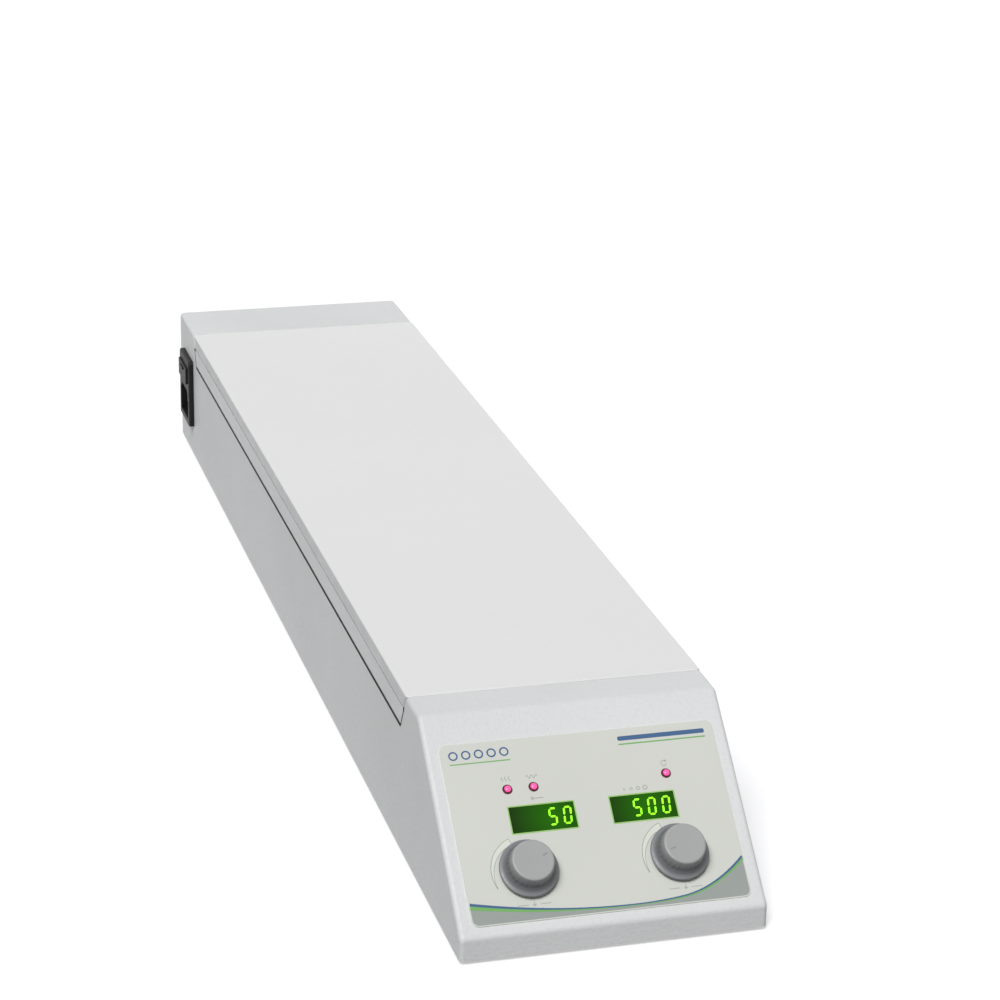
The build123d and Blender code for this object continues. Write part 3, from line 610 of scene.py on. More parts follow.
@dataclass(frozen=True)
class Woven(Finish):
    """A matt stuff with a grain, such as braided sleeve, mineral board or rubber, and the dark strips of
    painted shade in the seams.
    """

    colour: Colour
    scale: float = 900.0
    depth: float = 0.0002
    rough: float = 0.85
    dark: float = 0.62

    def paint(self, shader: Shader) -> None:
        """Lays the grain on a new material.

        Args:
            shader: The material's shader.
        """
        strands = shader.noise(self.scale, 5.0, 0.7, shader.place(turn=(0.4, 0.7, 0.2), scale=(1, 0.3, 1)))
        cross = shader.noise(self.scale * 0.8, 4.0, 0.7, shader.place(scale=(0.35, 1, 1)))
        both = shader.sum("MULTIPLY", strands, cross)
        dark = shade(self.colour, self.dark)
        shader.set(
            Base_Color=shader.mix(shader.spread(both, 0.0, 1.0, 0.15, 0.4), dark, self.colour),
            Roughness=self.rough,
            Normal=shader.bump(both, self.depth, 0.8),
        )


@dataclass(frozen=True)
class CircuitBoard(Finish):
    """Solder-masked board with faint tracks."""

    colour: Colour
    track: Colour
    tracks: float = 90.0
    track_width: float = 0.03

    def paint(self, shader: Shader) -> None:
        """Lays the mask and the tracks on a new material.

        Args:
            shader: The material's shader.
        """
        sockets = {"Vector": shader.coordinates.outputs["Object"], "Scale": self.tracks,
                   "Mortar Size": self.track_width, "Color1": (0.0, 0.0, 0.0),
                   "Color2": (0.04, 0.04, 0.04), "Mortar": WHITE}
        lines = shader.join("ShaderNodeTexBrick", sockets, offset=0.35, squash=0.7)
        shader.set(
            Base_Color=shader.mix(lines.outputs["Color"], self.colour, self.track),
            Roughness=shader.vary(shader.noise(300.0), 0.28, 0.42),
            Normal=shader.bump(lines.outputs["Fac"], 0.00003, 0.5),
        )


@dataclass(frozen=True)
class ClearPart(Finish):
    """Clear or tinted glass."""

    colour: Colour
    rough: float = 0.05
    clear: float = 0.85
    bend: float = 1.5

    def paint(self, shader: Shader) -> None:
        """Lays the glass surface on a new material.

        Args:
            shader: The material's shader.
        """
        shader.set(
            Base_Color=self.colour,
            Roughness=shader.vary(shader.noise(80.0), self.rough * 0.6, self.rough * 1.5),
            Transmission_Weight=self.clear,
            IOR=self.bend,
        )


HOUSING_PAINT = PowderPaint("housing_paint", "housing_paint", tint(229, 230, 231))
TRAY_PAINT = PowderPaint("tray_paint", "tray_paint", tint(236, 236, 238))
COVER_PAINT = PowderPaint("cover_paint", "housing_paint", tint(202, 202, 204), rough=0.55)
PLATE_COAT = PlateCoat("plate_coat", "plate_coat", tint(239, 240, 239), tint(196, 197, 198))
OVERLAY_FILM = SmoothCoat("overlay_film", "overlay_film", tint(217, 219, 212), 0.45, peel=1200.0,
                          depth=0.00001, mottle=0.02)
PRINT_WHITE = SmoothCoat("print_white", "overlay_film", tint(226, 229, 220), 0.42)
PRINT_LINE = SmoothCoat("print_line", "overlay_film", tint(158, 166, 152), 0.42)
PRINT_MARK = SmoothCoat("print_mark", "overlay_film", tint(178, 181, 176), 0.42)
PRINT_FIELD = SmoothCoat("print_field", "overlay_film", tint(157, 164, 160), 0.4)
PRINT_BLUE = SmoothCoat("print_blue", "overlay_film", tint(62, 98, 140), 0.4)
PRINT_GREEN = SmoothCoat("print_green", "overlay_film", tint(118, 178, 98), 0.4)
PRINT_EDGE = SmoothCoat("print_edge", "overlay_film", tint(160, 206, 118), 0.4)
DISPLAY_BAR = LitPart("display_bar", "window_green", tint(150, 255, 30), 0.9)
DISPLAY_DARK = SmoothCoat("display_dark", "display_dark", tint(40, 44, 40), 0.5)
# The second lamp colour is painted shade at the outer edge of each dome.
LAMP_CORE, LAMP_RIM_SHADE = tint(244, 80, 150), tint(92, 0, 42)
LAMP_COLLAR = SmoothCoat("lamp_collar", "lamp_pink", tint(84, 4, 42), 0.4)
KNOB_MARK = SmoothCoat("knob_mark", "knob_grey", tint(142, 144, 145), 0.5)
# Near-black strips of painted shade in the tray's seams, where there is only a shadow gap.
SEAM_SHADE = Woven("seam_shade", "rubber", tint(22, 22, 23), 1400.0, 0.00005, 0.9)
# Mid-grey strips of painted shade in the shadow gap under the plate's edge.
PLATE_GAP_SHADE = Woven("plate_gap_shade", "rubber", tint(88, 89, 90), 1400.0, 0.00005, 0.8)
BLACK_MOULDING = SmoothCoat("black_plastic", "black_plastic", tint(12, 12, 13), 0.5, peel=1400.0,
                            depth=0.00005, gloss=0.28)
WHITE_MARK = SmoothCoat("white_mark", "black_plastic", tint(228, 228, 226), 0.45)
# Dark crosses of painted shade where the screws' recesses would be.
RECESS_SHADE = SmoothCoat("recess_shade", "zinc", tint(36, 36, 38), 0.6)
FOOT_RUBBER = Woven("rubber", "rubber", tint(38, 38, 38), 1600.0, 0.00005, 0.75)
BELT_RUBBER = Woven("belt_rubber", "belt_rubber", tint(34, 34, 34), 1100.0, 0.0001, 0.7)
ZINC = BareMetal("zinc", "zinc", tint(196, 198, 196), Lay.ALONG_Y, 0.34, spangle=0.5)
STEEL = BareMetal("steel", "steel", tint(176, 178, 180), Lay.ROUND_Z, 0.26)
ALUMINIUM = BareMetal("aluminium", "aluminium", tint(205, 206, 208), Lay.ROUND_Z, 0.3)
MAGNET = BareMetal("magnet_nickel", "magnet_nickel", tint(202, 200, 194), Lay.ROUND_Z, 0.14)
BRASS = BareMetal("brass", "brass", tint(206, 178, 112), Lay.ALONG_X, 0.3)
HEATER_FOIL = BareMetal("heater_foil", "heater_foil", tint(182, 176, 164), Lay.ALONG_X, 0.4)
CERAMIC = SmoothCoat("ceramic", "ceramic", tint(236, 230, 214), 0.6)
INSULATION = Woven("insulation", "insulation", tint(228, 222, 200))
NYLON = SmoothCoat("nylon", "nylon", tint(230, 230, 224), 0.45)
CARRIER = SmoothCoat("carrier_plastic", "carrier_plastic", tint(216, 216, 208), 0.5)
BOARD = CircuitBoard("board_green", "board_green", tint(22, 84, 46), tint(62, 124, 72))
CHIP = SmoothCoat("chip_black", "board_green", tint(30, 30, 32), 0.5)
FUSE_GLASS = ClearPart("fuse_glass", "fuse_glass", tint(232, 240, 240))
LOOM = Woven("loom_sleeve", "loom_sleeve", tint(30, 30, 32), 1500.0, 0.00018)


@dataclass
class Workshop:
    """Turns finished meshes into pieces of the instrument, and dresses its CAD nodes."""

    nodes: dict[str, bpy.types.Object]
    made: dict[str, bpy.types.Material] = field(default_factory=dict)

    def coat(self, data: bpy.types.Mesh, finish: Finish) -> None:
        """Gives a mesh a finish, which is made once, when it is first asked for.

        Args:
            data: The mesh.
            finish: Its finish.
        """
        if finish.name not in self.made:
            self.made[finish.name] = finish.make()
        data.materials.clear()
        data.materials.append(self.made[finish.name])

    def piece(self, name: str, mesh: bmesh.types.BMesh, finish: Finish, body: Body,
              place: Matrix | None = None, sharp: float = 32.0) -> bpy.types.Object:
        """Makes a piece out of a mesh in millimetres.

        Args:
            name: The piece's name.
            mesh: Its mesh, which is used up.
            finish: Its finish.
            body: The group that it moves with.
            place: Where its own frame lies, in metres, or none for the row frame.
            sharp: Edges that turn by more than this many degrees stay sharp.

        Returns:
            The new object.
        """
        bmesh.ops.remove_doubles(mesh, verts=mesh.verts, dist=1e-4)
        bmesh.ops.recalc_face_normals(mesh, faces=mesh.faces)
        for face in mesh.faces:
            face.smooth = True
        for edge in mesh.edges:
            edge.smooth = len(edge.link_faces) == 2 and edge.calc_face_angle() < math.radians(sharp)
        mesh.transform((place or Matrix.Identity(4)) @ Matrix.Scale(MM, 4))
        data = bpy.data.meshes.new(name)
        mesh.to_mesh(data)
        mesh.free()
        thing = bpy.data.objects.new(name, data)
        bpy.context.scene.collection.objects.link(thing)
        self.coat(data, finish)
        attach(thing, body.value)
        LOG.info("piece %s: %d faces", name, len(data.polygons))
        return thing

    def dress(self, finish: Finish, *names: str) -> None:
        """Gives CAD nodes a finish.

        Args:
            finish: The finish.
            names: The nodes.
        """
        for name in names:
            self.coat(self.nodes[name].data, finish)
            LOG.info("node %s: %s", name, finish.name)


def lathe(profile: Sequence[Point], steps: int) -> bmesh.types.BMesh:
    """Turns a profile about the Z axis.

    Args:
        profile: Points of (radius, height).
        steps: Facets round the axis.

    Returns:
        The turned mesh.
    """
    mesh = bmesh.new()
    verts = [mesh.verts.new((radius, 0, height)) for radius, height in profile]
    edges = [mesh.edges.new(pair) for pair in zip(verts, verts[1:])]
    bmesh.ops.spin(mesh, geom=[*verts, *edges], cent=(0, 0, 0), axis=(0, 0, 1), dvec=(0, 0, 0),
                   angle=math.tau, steps=steps, use_merge=True)
    bmesh.ops.remove_doubles(mesh, verts=mesh.verts, dist=1e-4)
    return mesh


def sheet(outlines: Iterable[Sequence[Point]], low: float, high: float) -> bmesh.types.BMesh:
    """Fills closed outlines, with the inner ones as holes, and gives the sheet its thickness.

    Args:
        outlines: Closed outlines of (x, y) points.
        low: The underside's height.
        high: The top's height.

    Returns:
        The closed sheet.
    """
    mesh = bmesh.new()
    for outline in outlines:
        verts = [mesh.verts.new((x, y, low)) for x, y in outline]
        for pair in zip(verts, verts[1:] + verts[:1]):
            mesh.edges.new(pair)
    bmesh.ops.triangle_fill(mesh, use_beauty=True, use_dissolve=False, edges=mesh.edges[:])
    raised = bmesh.ops.extrude_face_region(mesh, geom=mesh.faces[:], use_keep_orig=True)
    top = [item for item in raised["geom"] if isinstance(item, bmesh.types.BMVert)]
    bmesh.ops.translate(mesh, vec=(0, 0, high - low), verts=top)
    return mesh


def block(size: Sequence[float], centre: Sequence[float], bevel: float = 0.0) -> bmesh.types.BMesh:
    """A box with rounded edges.

    Args:
        size: Its sizes.
        centre: Its centre.
        bevel: The edges' radius.

    Returns:
        The box.
    """
    mesh = bmesh.new()
    bmesh.ops.create_cube(mesh, size=1.0)
    bmesh.ops.scale(mesh, vec=size, verts=mesh.verts)
    if bevel:
        bmesh.ops.bevel(mesh, geom=mesh.edges[:], offset=bevel, segments=3, profile=0.5,
                        affect="EDGES", material=-1)
    bmesh.ops.translate(mesh, vec=centre, verts=mesh.verts)
    return mesh


def gather(meshes: Iterable[bmesh.types.BMesh]) -> bmesh.types.BMesh:
    """Puts several meshes into one.

    Args:
        meshes: The meshes, which are used up.

    Returns:
        One mesh with all of them.
    """
    whole = bmesh.new()
    for mesh in meshes:
        data = bpy.data.meshes.new("part")
        mesh.to_mesh(data)
        mesh.free()
        whole.from_mesh(data)
        bpy.data.meshes.remove(data)
    return whole


def arc(centre: Point, radius: float, start: float, end: float, steps: int) -> list[Point]:
    """Points along an arc.

    Args:
        centre: The arc's centre.
        radius: Its radius.
        start: Its first angle, in degrees.
        end: Its last angle.
        steps: How many pieces it has.

    Returns:
        The points, with both ends.
    """
    angles = [math.radians(start + (end - start) * n / steps) for n in range(steps + 1)]
    return [(centre[0] + radius * math.cos(a), centre[1] + radius * math.sin(a)) for a in angles]


def ring(centre: Point, inner: float, outer: float, steps: int) -> list[list[Point]]:
    """The two outlines of a flat ring.

    Args:
        centre: Its centre.
        inner: Its inner radius.
        outer: Its outer radius.
        steps: Points on each outline.

    Returns:
        Both outlines.
    """
    return [arc(centre, radius, 0, 360, steps)[:-1] for radius in (outer, inner)]


def rounded(centre: Point, size: Point, radius: float) -> list[Point]:
    """The outline of a rounded rectangle.

    Args:
        centre: Its centre.
        size: Its width and height.
        radius: Its corners' radius.

    Returns:
        The outline.
    """
    reach_x, reach_y = size[0] / 2 - radius, size[1] / 2 - radius
    outline: list[Point] = []
    for turn, (i, j) in enumerate(((1, 1), (-1, 1), (-1, -1), (1, -1))):
        corner = (centre[0] + i * reach_x, centre[1] + j * reach_y)
        outline += arc(corner, radius, 90 * turn, 90 * turn + 90, 6)
    return outline


def stroke(points: Sequence[Point], width: Callable[[float], float] | float) -> list[Point]:
    """The outline of a line with a width, which may change along it.

    Args:
        points: The line's points.
        width: Its width, or a function of the share of the way along it.

    Returns:
        The outline.
    """
    left: list[Point] = []
    right: list[Point] = []
    last = len(points) - 1
    for n, (x, y) in enumerate(points):
        before, after = points[max(n - 1, 0)], points[min(n + 1, last)]
        run = Vector((after[0] - before[0], after[1] - before[1])).normalized()
        half = (width(n / last) if callable(width) else width) / 2
        left.append((x - run.y * half, y + run.x * half))
        right.append((x + run.y * half, y - run.x * half))
    return left + right[::-1]


@dataclass
class Console:
    """The sloped console's plane, shared by all that stands on it."""

    front: float = -332.0
    lip: float = 11.5
    run: float = 73.3
    rise: float = 65.0
    face: float = 0.5
    knob_x: float = 32.0
    knob_s: float = 26.0
    window_s: float = 47.9

    @property
    def lean(self) -> float:
        """The slope's angle above the bench, in radians."""
        return math.atan2(self.rise, self.run)

    @property
    def place(self) -> Matrix:
        """From the panel's own frame to the row frame, in metres."""
        origin = Matrix.Translation((0, self.front * MM, self.lip * MM))
        return origin @ Matrix.Rotation(self.lean, 4, "X")


@dataclass
class Case:
    """The housing, its base cover, screws and feet."""

    shop: Workshop
    screw_radius: float = 3.0
    recess_reach: float = 1.7
    recess_width: float = 0.62
    recess_depth: float = 0.03
    recess_deeper: float = 1.2
    rows: int = 5

    def dress(self) -> None:
        """Paints the shells and finishes the small parts."""
        self.shop.dress(HOUSING_PAINT, "housing")
        self.shop.dress(COVER_PAINT, "base_cover")
        self.shop.dress(ZINC, "base_cover_screws")
        self.shop.dress(FOOT_RUBBER, "rubber_feet")

    def screw_recesses(self) -> None:
        """Dark crosses of painted shade on the screws of the base cover, where their cross recesses would
        be.
        """
        low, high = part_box("base_cover_screws")
        reach_x = (high.x - low.x) / MM / 2 - self.screw_radius
        start, end = low.y / MM + self.screw_radius, high.y / MM - self.screw_radius
        base = low.z / MM
        crosses: list[bmesh.types.BMesh] = []
        for side in (-1, 1):
            for n in range(self.rows):
                centre = (side * reach_x, start + (end - start) * n / (self.rows - 1), base)
                long, wide, deep = self.recess_reach * 2, self.recess_width, self.recess_depth
                crosses.append(block((long, wide, deep), centre))
                crosses.append(block((wide, long, deep * self.recess_deeper), centre))
        self.shop.piece("base_screw_recess_shade", gather(crosses), RECESS_SHADE, Body.INSTRUMENT)

    def build(self) -> None:
        """Builds and dresses the case."""
        self.dress()
        self.screw_recesses()


@dataclass
class HotTop:
    """The heating plate, its tray and what lies between them."""

    shop: Workshop
    side: float = 65.0
    middle: float = 23.0
    plate_half: float = 262.6
    top: float = 76.5
    stack: float = 17.5
    lean: float = 9.9
    seam: float = 0.8
    tray_rim: float = 69.1
    plate_foot: float = 69.7
    end_gap: float = 0.5
    setback: float = 0.12
    depth: float = 1.3
    lip_stand: float = 0.28
    lip_height: float = 1.3
    lip_bevel: float = 0.12
    strip_stop: float = 0.6
    strip_share: float = 0.8
    end_lip: Point = (0.36, 0.7)
    end_lip_out: float = 0.1
    end_lip_bevel: float = 0.1
    # The round pads are dark dots of painted shade in the notches at the tray's corners.
    pad: tuple[Point, ...] = ((0, -0.85), (1.05, -0.85), (1.05, 0.7), (0.9, 0.85), (0, 0.85))
    pad_steps: int = 24
    pad_inset: float = 0.35
    pad_drop: float = 0.3

    def reach(self, z: float) -> float:
        """How far the leaning shoulders stand from the middle, at a height."""
        return self.plate_half - self.lean * (self.top - z) / self.stack

    def rails(self, low: float, high: float, inner: float, outer: float,
              bevel: float = 0.0) -> list[bmesh.types.BMesh]:
        """A rail along each side wall.

        Args:
            low: Its lower edge.
            high: Its upper edge.
            inner: How far its near face stands from the middle.
            outer: How far its far face stands from there.
            bevel: Its edges' radius.

        Returns:
            Both rails.
        """
        level = (low + high) / 2
        size = (outer - inner, 2 * (self.reach(level) - self.end_gap), high - low)
        return [block(size, (sign * (inner + outer) / 2, self.middle, level), bevel) for sign in (-1, 1)]

    def end_strips(self) -> list[bmesh.types.BMesh]:
        """Thin dark strips of painted shade up the leaning ends of the tray, with a lip and a round pad of
        painted shade on each.

        Returns:
            The strips, lips and pads.
        """
        shelf, high = self.top - self.stack, self.tray_rim - self.strip_stop
        angle = math.atan2(self.lean, self.stack)
        centre_z, length = (shelf + high) / 2, (high - shelf) / math.cos(angle)
        x = self.side - self.setback - self.depth / 2
        lip_x = self.depth / 2 + self.end_lip_out
        strips: list[bmesh.types.BMesh] = []
        for end in (-1, 1):
            y = self.middle + end * (self.reach(centre_z) - self.end_gap / 2 / math.cos(angle))
            pad_y = self.middle + end * (self.reach(self.tray_rim) - self.end_gap - self.pad_inset)
            turn = Matrix.Rotation(-end * angle, 4, "X")
            for sign in (-1, 1):
                strip = block((self.depth, self.end_gap * self.strip_share, length), (0, 0, 0))
                lip = block((*self.end_lip, length), (sign * lip_x, 0, 0), self.end_lip_bevel)
                for mesh in (strip, lip):
                    mesh.transform(Matrix.Translation((sign * x, y, centre_z)) @ turn)
                pad = lathe(self.pad, self.pad_steps)
                pad.transform(Matrix.Translation((sign * x, pad_y, self.tray_rim - self.pad_drop))
                              @ Matrix.Rotation(math.radians(sign * 90), 4, "Y"))
                strips += [strip, lip, pad]
        return strips

    def seams(self) -> None:
        """Dark strips of painted shade in the tray's seams, and mid-grey strips of painted shade in the gap
        under the plate's edge.
        """
        shelf, face = self.top - self.stack, self.side - self.setback
        back, proud, half = face - self.depth, self.side + self.lip_stand, self.lip_height / 2
        level = shelf + self.seam / 2
        seam_shade_strips = self.rails(shelf, shelf + self.seam, back, face) + self.end_strips()
        # Dark lips standing proud along the seams: painted shade that draws the seam's shadow line.
        seam_shade_strips += self.rails(level - half, level + half, face, proud, self.lip_bevel)
        self.shop.piece("tray_seam_shade", gather(seam_shade_strips), SEAM_SHADE, Body.INSTRUMENT)
        # The grey strips under the plate's edge are painted shade of the gap there.
        gap_shade_strips = self.rails(self.tray_rim, self.plate_foot, back, face)
        self.shop.piece("plate_gap_shade", gather(gap_shade_strips), PLATE_GAP_SHADE, Body.INSTRUMENT)

    def build(self) -> None:
        """Dresses the plate, the tray and the parts of the heater, and fills the seams."""
        self.seams()
        self.shop.dress(PLATE_COAT, "heating_plate")
        self.shop.dress(TRAY_PAINT, "plate_tray")
        self.shop.dress(ZINC, "tray_screws", "plate_studs")
        self.shop.dress(CERAMIC, "plate_spacers")
        self.shop.dress(HEATER_FOIL, "heater_element")
        self.shop.dress(INSULATION, "insulation_board")
        self.shop.dress(STEEL, "temperature_sensor", "thermal_cutout")


@dataclass
class Display:
    """One window of the console with its lit digits."""

    shop: Workshop
    console: Console
    name: str
    digits: str
    centre_x: float
    width: float = 27.6
    height: float = 11.5
    film: float = 0.03
    digit_width: float = 2.8
    digit_height: float = 7.0
    digit_pitch: float = 6.2
    bar: float = 0.8
    bar_gap: float = 0.28
    bar_point: float = 0.5
    right_margin: float = 1.95
    slant: float = 0.09
    border: float = 0.5
    overlap: float = 0.1
    radii: Point = (0.5, 0.2)
    edge_height: float = 0.06

    def bars(self, figure: str) -> list[tuple[Point, Point]]:
        """The lit bars of a figure, from a seven-bar pattern.

        Args:
            figure: One figure from 0 to 9.

        Returns:
            Each bar's two ends, from the figure's middle.
        """
        x, y = self.digit_width / 2, self.digit_height / 2
        places = {
            "a": ((-x, y), (x, y)),
            "b": ((x, y), (x, 0.0)),
            "c": ((x, 0.0), (x, -y)),
            "d": ((-x, -y), (x, -y)),
            "e": ((-x, 0.0), (-x, -y)),
            "f": ((-x, y), (-x, 0.0)),
            "g": ((-x, 0.0), (x, 0.0)),
        }
        lit = {"0": "abcdef", "5": "acdfg"}
        return [places[letter] for letter in lit[figure]]

    def bar_outline(self, start: Point, end: Point, centre: float) -> list[Point]:
        """A bar with pointed ends, leaning as the figures do.

        Args:
            start: One end.
            end: The other end.
            centre: The figure's middle, across the window.

        Returns:
            The bar's outline on the panel.
        """
        first, last = Vector(start), Vector(end)
        run = (last - first).normalized()
        across = Vector((-run.y, run.x)) * self.bar / 2
        gap = self.bar * self.bar_gap
        first, last = first + run * gap, last - run * gap
        point = self.bar * self.bar_point
        corners = [first, first + run * point + across, last - run * point + across, last,
                   last - run * point - across, first + run * point - across]
        return [(centre + c.x + c.y * self.slant, self.console.window_s + c.y) for c in corners]

    def build(self) -> None:
        """Builds the lit figures and the printed edge of the window."""
        place = self.console.place
        right = self.centre_x + self.width / 2 - self.right_margin - self.digit_width / 2
        low, high = self.console.face - self.film, self.console.face + self.film
        lit: list[bmesh.types.BMesh] = []
        for n, figure in enumerate(reversed(self.digits)):
            centre = right - n * self.digit_pitch
            for start, end in self.bars(figure):
                lit.append(sheet([self.bar_outline(start, end, centre)], low, high))
        self.shop.piece(f"{self.name}_digits", gather(lit), DISPLAY_BAR, Body.INSTRUMENT, place)
        middle = (self.centre_x, self.console.window_s)
        outer = (self.width + 2 * self.border, self.height + 2 * self.border)
        inner = (self.width - self.overlap, self.height - self.overlap)
        outlines = [rounded(middle, size, radius) for size, radius in zip((outer, inner), self.radii)]
        edge = sheet(outlines, self.console.face, self.console.face + self.edge_height)
        self.shop.piece(f"{self.name}_edge", edge, PRINT_EDGE, Body.INSTRUMENT, place)


@dataclass
class Panel:
    """The printed film of the console, its windows, lamps and boards."""

    shop: Workshop
    console: Console
    ink: float = 0.03
    lamps_x: tuple[float, ...] = (-33.7, -22.6, 34.5)
    lamp_s: float = 61.6
    film_half: float = 59.0
    film_low: float = 4.5
    film_radius: float = 3.0
    glows: tuple[tuple[str, float], ...] = (("temperature", -16.6), ("speed", 23.9))
    curve_low_x: float = 10.0
    curve_low_s: float = 6.6
    curve_bends: Point = (0.0016, 0.0030)
    curve_late: Point3 = (30.0, 28.0, 8.0)
    band_inset: float = 0.5
    band_corner: float = 0.4
    band_steps: int = 60
    corner_steps: int = 8
    swell_least: float = 0.25
    swell_gain: float = 1.15
    swell_middle: float = 1.17
    swell_power: float = 1.6
    green_drop: Point = (0.55, 0.25)
    green_width: float = 1.25
    blue_width: Point = (0.45, 0.4)
    green_rules: tuple[tuple[Point, Point, float], ...] = (
        ((-42.8, 74.6), (25.6, 0.5), 0.2),
        ((36.0, 76.4), (38.0, 0.6), 0.25),
    )
    blue_rule: tuple[Point, Point, float] = ((36.0, 79.0), (38.0, 2.0), 0.8)
    wedge_radius: float = 15.2
    wedge_angles: Point = (206, 111)
    wedge_steps: int = 32
    wedge_width: float = 3.0
    wedge_taper: float = 0.8
    wedge_line: float = 0.22
    wedge_bolder: float = 0.12
    wedge_inner: Point = (0.3, 0.14)
    mark_line: float = 0.34
    mark_rise: float = 4.6
    wave_shifts: Point3 = (-1.5, 0.0, 1.5)
    wave_sway: float = 0.35
    coil_sway: float = 0.75
    arrow_radius: float = 1.15
    dot_sizes: tuple[float, ...] = (0.5, 0.7, 0.9, 1.1)
    dot_hole: float = 0.55
    dashes: tuple[Point, Point] = ((-7.0, -2.4), (2.4, 7.0))
    thermometer: Point = (-21.2, 56.6)
    dots: Point = (15.2, 56.4)
    dot_pitch: float = 3.0
    start_s: float = 11.3
    first_ring: Point = (-53.6, 78.4)
    ring_pitch: float = 5.4
    ring_radii: Point = (1.35, 2.0)
    positions: int = 5
    round_steps: int = 32
    collar_steps: int = 48
    collar: tuple[Point, ...] = ((1.78, 0.5), (2.14, 0.5), (2.14, 0.6), (2.02, 0.76), (1.88, 0.78),
                                 (1.7, 0.74), (1.78, 0.5))
    board_top: float = -12.5
    chips: tuple[tuple[Point3, Point, float], ...] = (
        ((10.0, 10.0, 1.6), (0.0, 66.0), 0.15),
        ((5.0, 6.2, 1.5), (-14.0, 68.0), 0.15),
        ((5.0, 6.2, 1.5), (14.0, 68.0), 0.15),
        ((18.0, 5.0, 5.5), (0.0, 22.0), 0.3),
        ((6.4, 3.2, 1.2), (0.0, 32.0), 0.1),
    )

    def dress(self) -> None:
        """Finishes the console's CAD nodes."""
        self.shop.dress(OVERLAY_FILM, "control_overlay")
        for name, x in self.glows:
            glow = self.console.place @ Vector((x * MM, self.console.window_s * MM, 0.0))
            self.shop.dress(LitLens(f"{name}_lens", "window_green", tuple(glow)), f"{name}_window")
        self.shop.dress(DISPLAY_DARK, "display_modules")
        dome = LampDome("lamp_pink", "lamp_pink", LAMP_CORE, LAMP_RIM_SHADE, self.console.lean)
        self.shop.dress(dome, "indicator_lamps")
        self.shop.dress(BOARD, "control_board")
        self.shop.dress(NYLON, "board_spacers")
        self.shop.dress(BLACK_MOULDING, "encoder_bodies")
        self.shop.dress(ZINC, "encoder_nuts")

    def printed(self, name: str, outlines: Sequence[Sequence[Sequence[Point]]], finish: Finish,
                layer: int = 1) -> None:
        """Prints shapes on the film.

        Args:
            name: The print's name.
            outlines: One list of outlines for each shape.
            finish: The ink.
            layer: How many inks lie under it, with itself.
        """
        low, high = self.console.face - self.ink, self.console.face + self.ink * layer
        mesh = gather(sheet(outline, low, high) for outline in outlines)
        self.shop.piece(name, mesh, finish, Body.INSTRUMENT, self.console.place)

    def curve(self, x: float) -> float:
        """The height of the coloured band's upper edge.

        Args:
            x: How far across the panel.

        Returns:
            The height up the slope.
        """
        left, right = self.curve_bends
        start, run, rise = self.curve_late
        rest = self.curve_low_s + (left if x < self.curve_low_x else right) * (x - self.curve_low_x) ** 2
        return rest + rise * max(0.0, (x - start) / run) ** 2

    def band(self) -> None:
        """A plain grey field along the foot of the film, edged in blue and green."""
        inset, steps = self.band_inset, self.band_steps
        half, low = self.film_half - inset, self.film_low + inset
        radius = self.film_radius - self.band_corner
        xs = [-half + 2 * half * n / steps for n in range(steps + 1)]
        top = [(x, self.curve(x)) for x in xs]
        foot = arc((half - radius, low + radius), radius, 0, -90, self.corner_steps)
        foot += arc((-half + radius, low + radius), radius, -90, -180, self.corner_steps)
        self.printed("band_field", [[top + foot]], PRINT_FIELD)

        def swell(share: float) -> float:
            """The lines grow from near the middle to the film's sides."""
            gain = abs(2 * share - self.swell_middle) ** self.swell_power
            return self.swell_least + self.swell_gain * gain

        grow, drop = self.green_drop
        green = [(x, self.curve(x) - grow * swell((x + half) / (2 * half)) - drop) for x in xs]
        line = stroke(green, lambda share: swell(share) * self.green_width)
        self.printed("band_green", [[line]], PRINT_GREEN, 2)
        gain, least = self.blue_width
        self.printed("band_blue", [[stroke(top, lambda share: least + gain * swell(share))]], PRINT_BLUE, 3)

    def crescents(self) -> None:
        """The pale wedge beside each knob that shows which way it turns up."""
        fills: list[list[list[Point]]] = []
        lines: list[list[list[Point]]] = []
        broad, taper = self.wedge_inner
        for x in (-self.console.knob_x, self.console.knob_x):
            outer = arc((x, self.console.knob_s), self.wedge_radius, *self.wedge_angles, self.wedge_steps)
            inner: list[Point] = []
            for n, (px, ps) in enumerate(reversed(outer)):
                thick = self.wedge_width * (1 - n / self.wedge_steps) ** self.wedge_taper
                away = Vector((px - x, ps - self.console.knob_s)).normalized()
                inner.append((px - away.x * thick, ps - away.y * thick))
            fills.append([outer + inner[:-1]])
            lines.append([stroke(outer, lambda share: self.wedge_line + self.wedge_bolder * (1 - share))])
            lines.append([stroke([outer[-1], inner[0]], self.wedge_line)])
            lines.append([stroke(inner, lambda share: broad - taper * share)])
        self.printed("dial_wedges", fills, PRINT_WHITE)
        self.printed("dial_wedge_lines", lines, PRINT_LINE, 2)

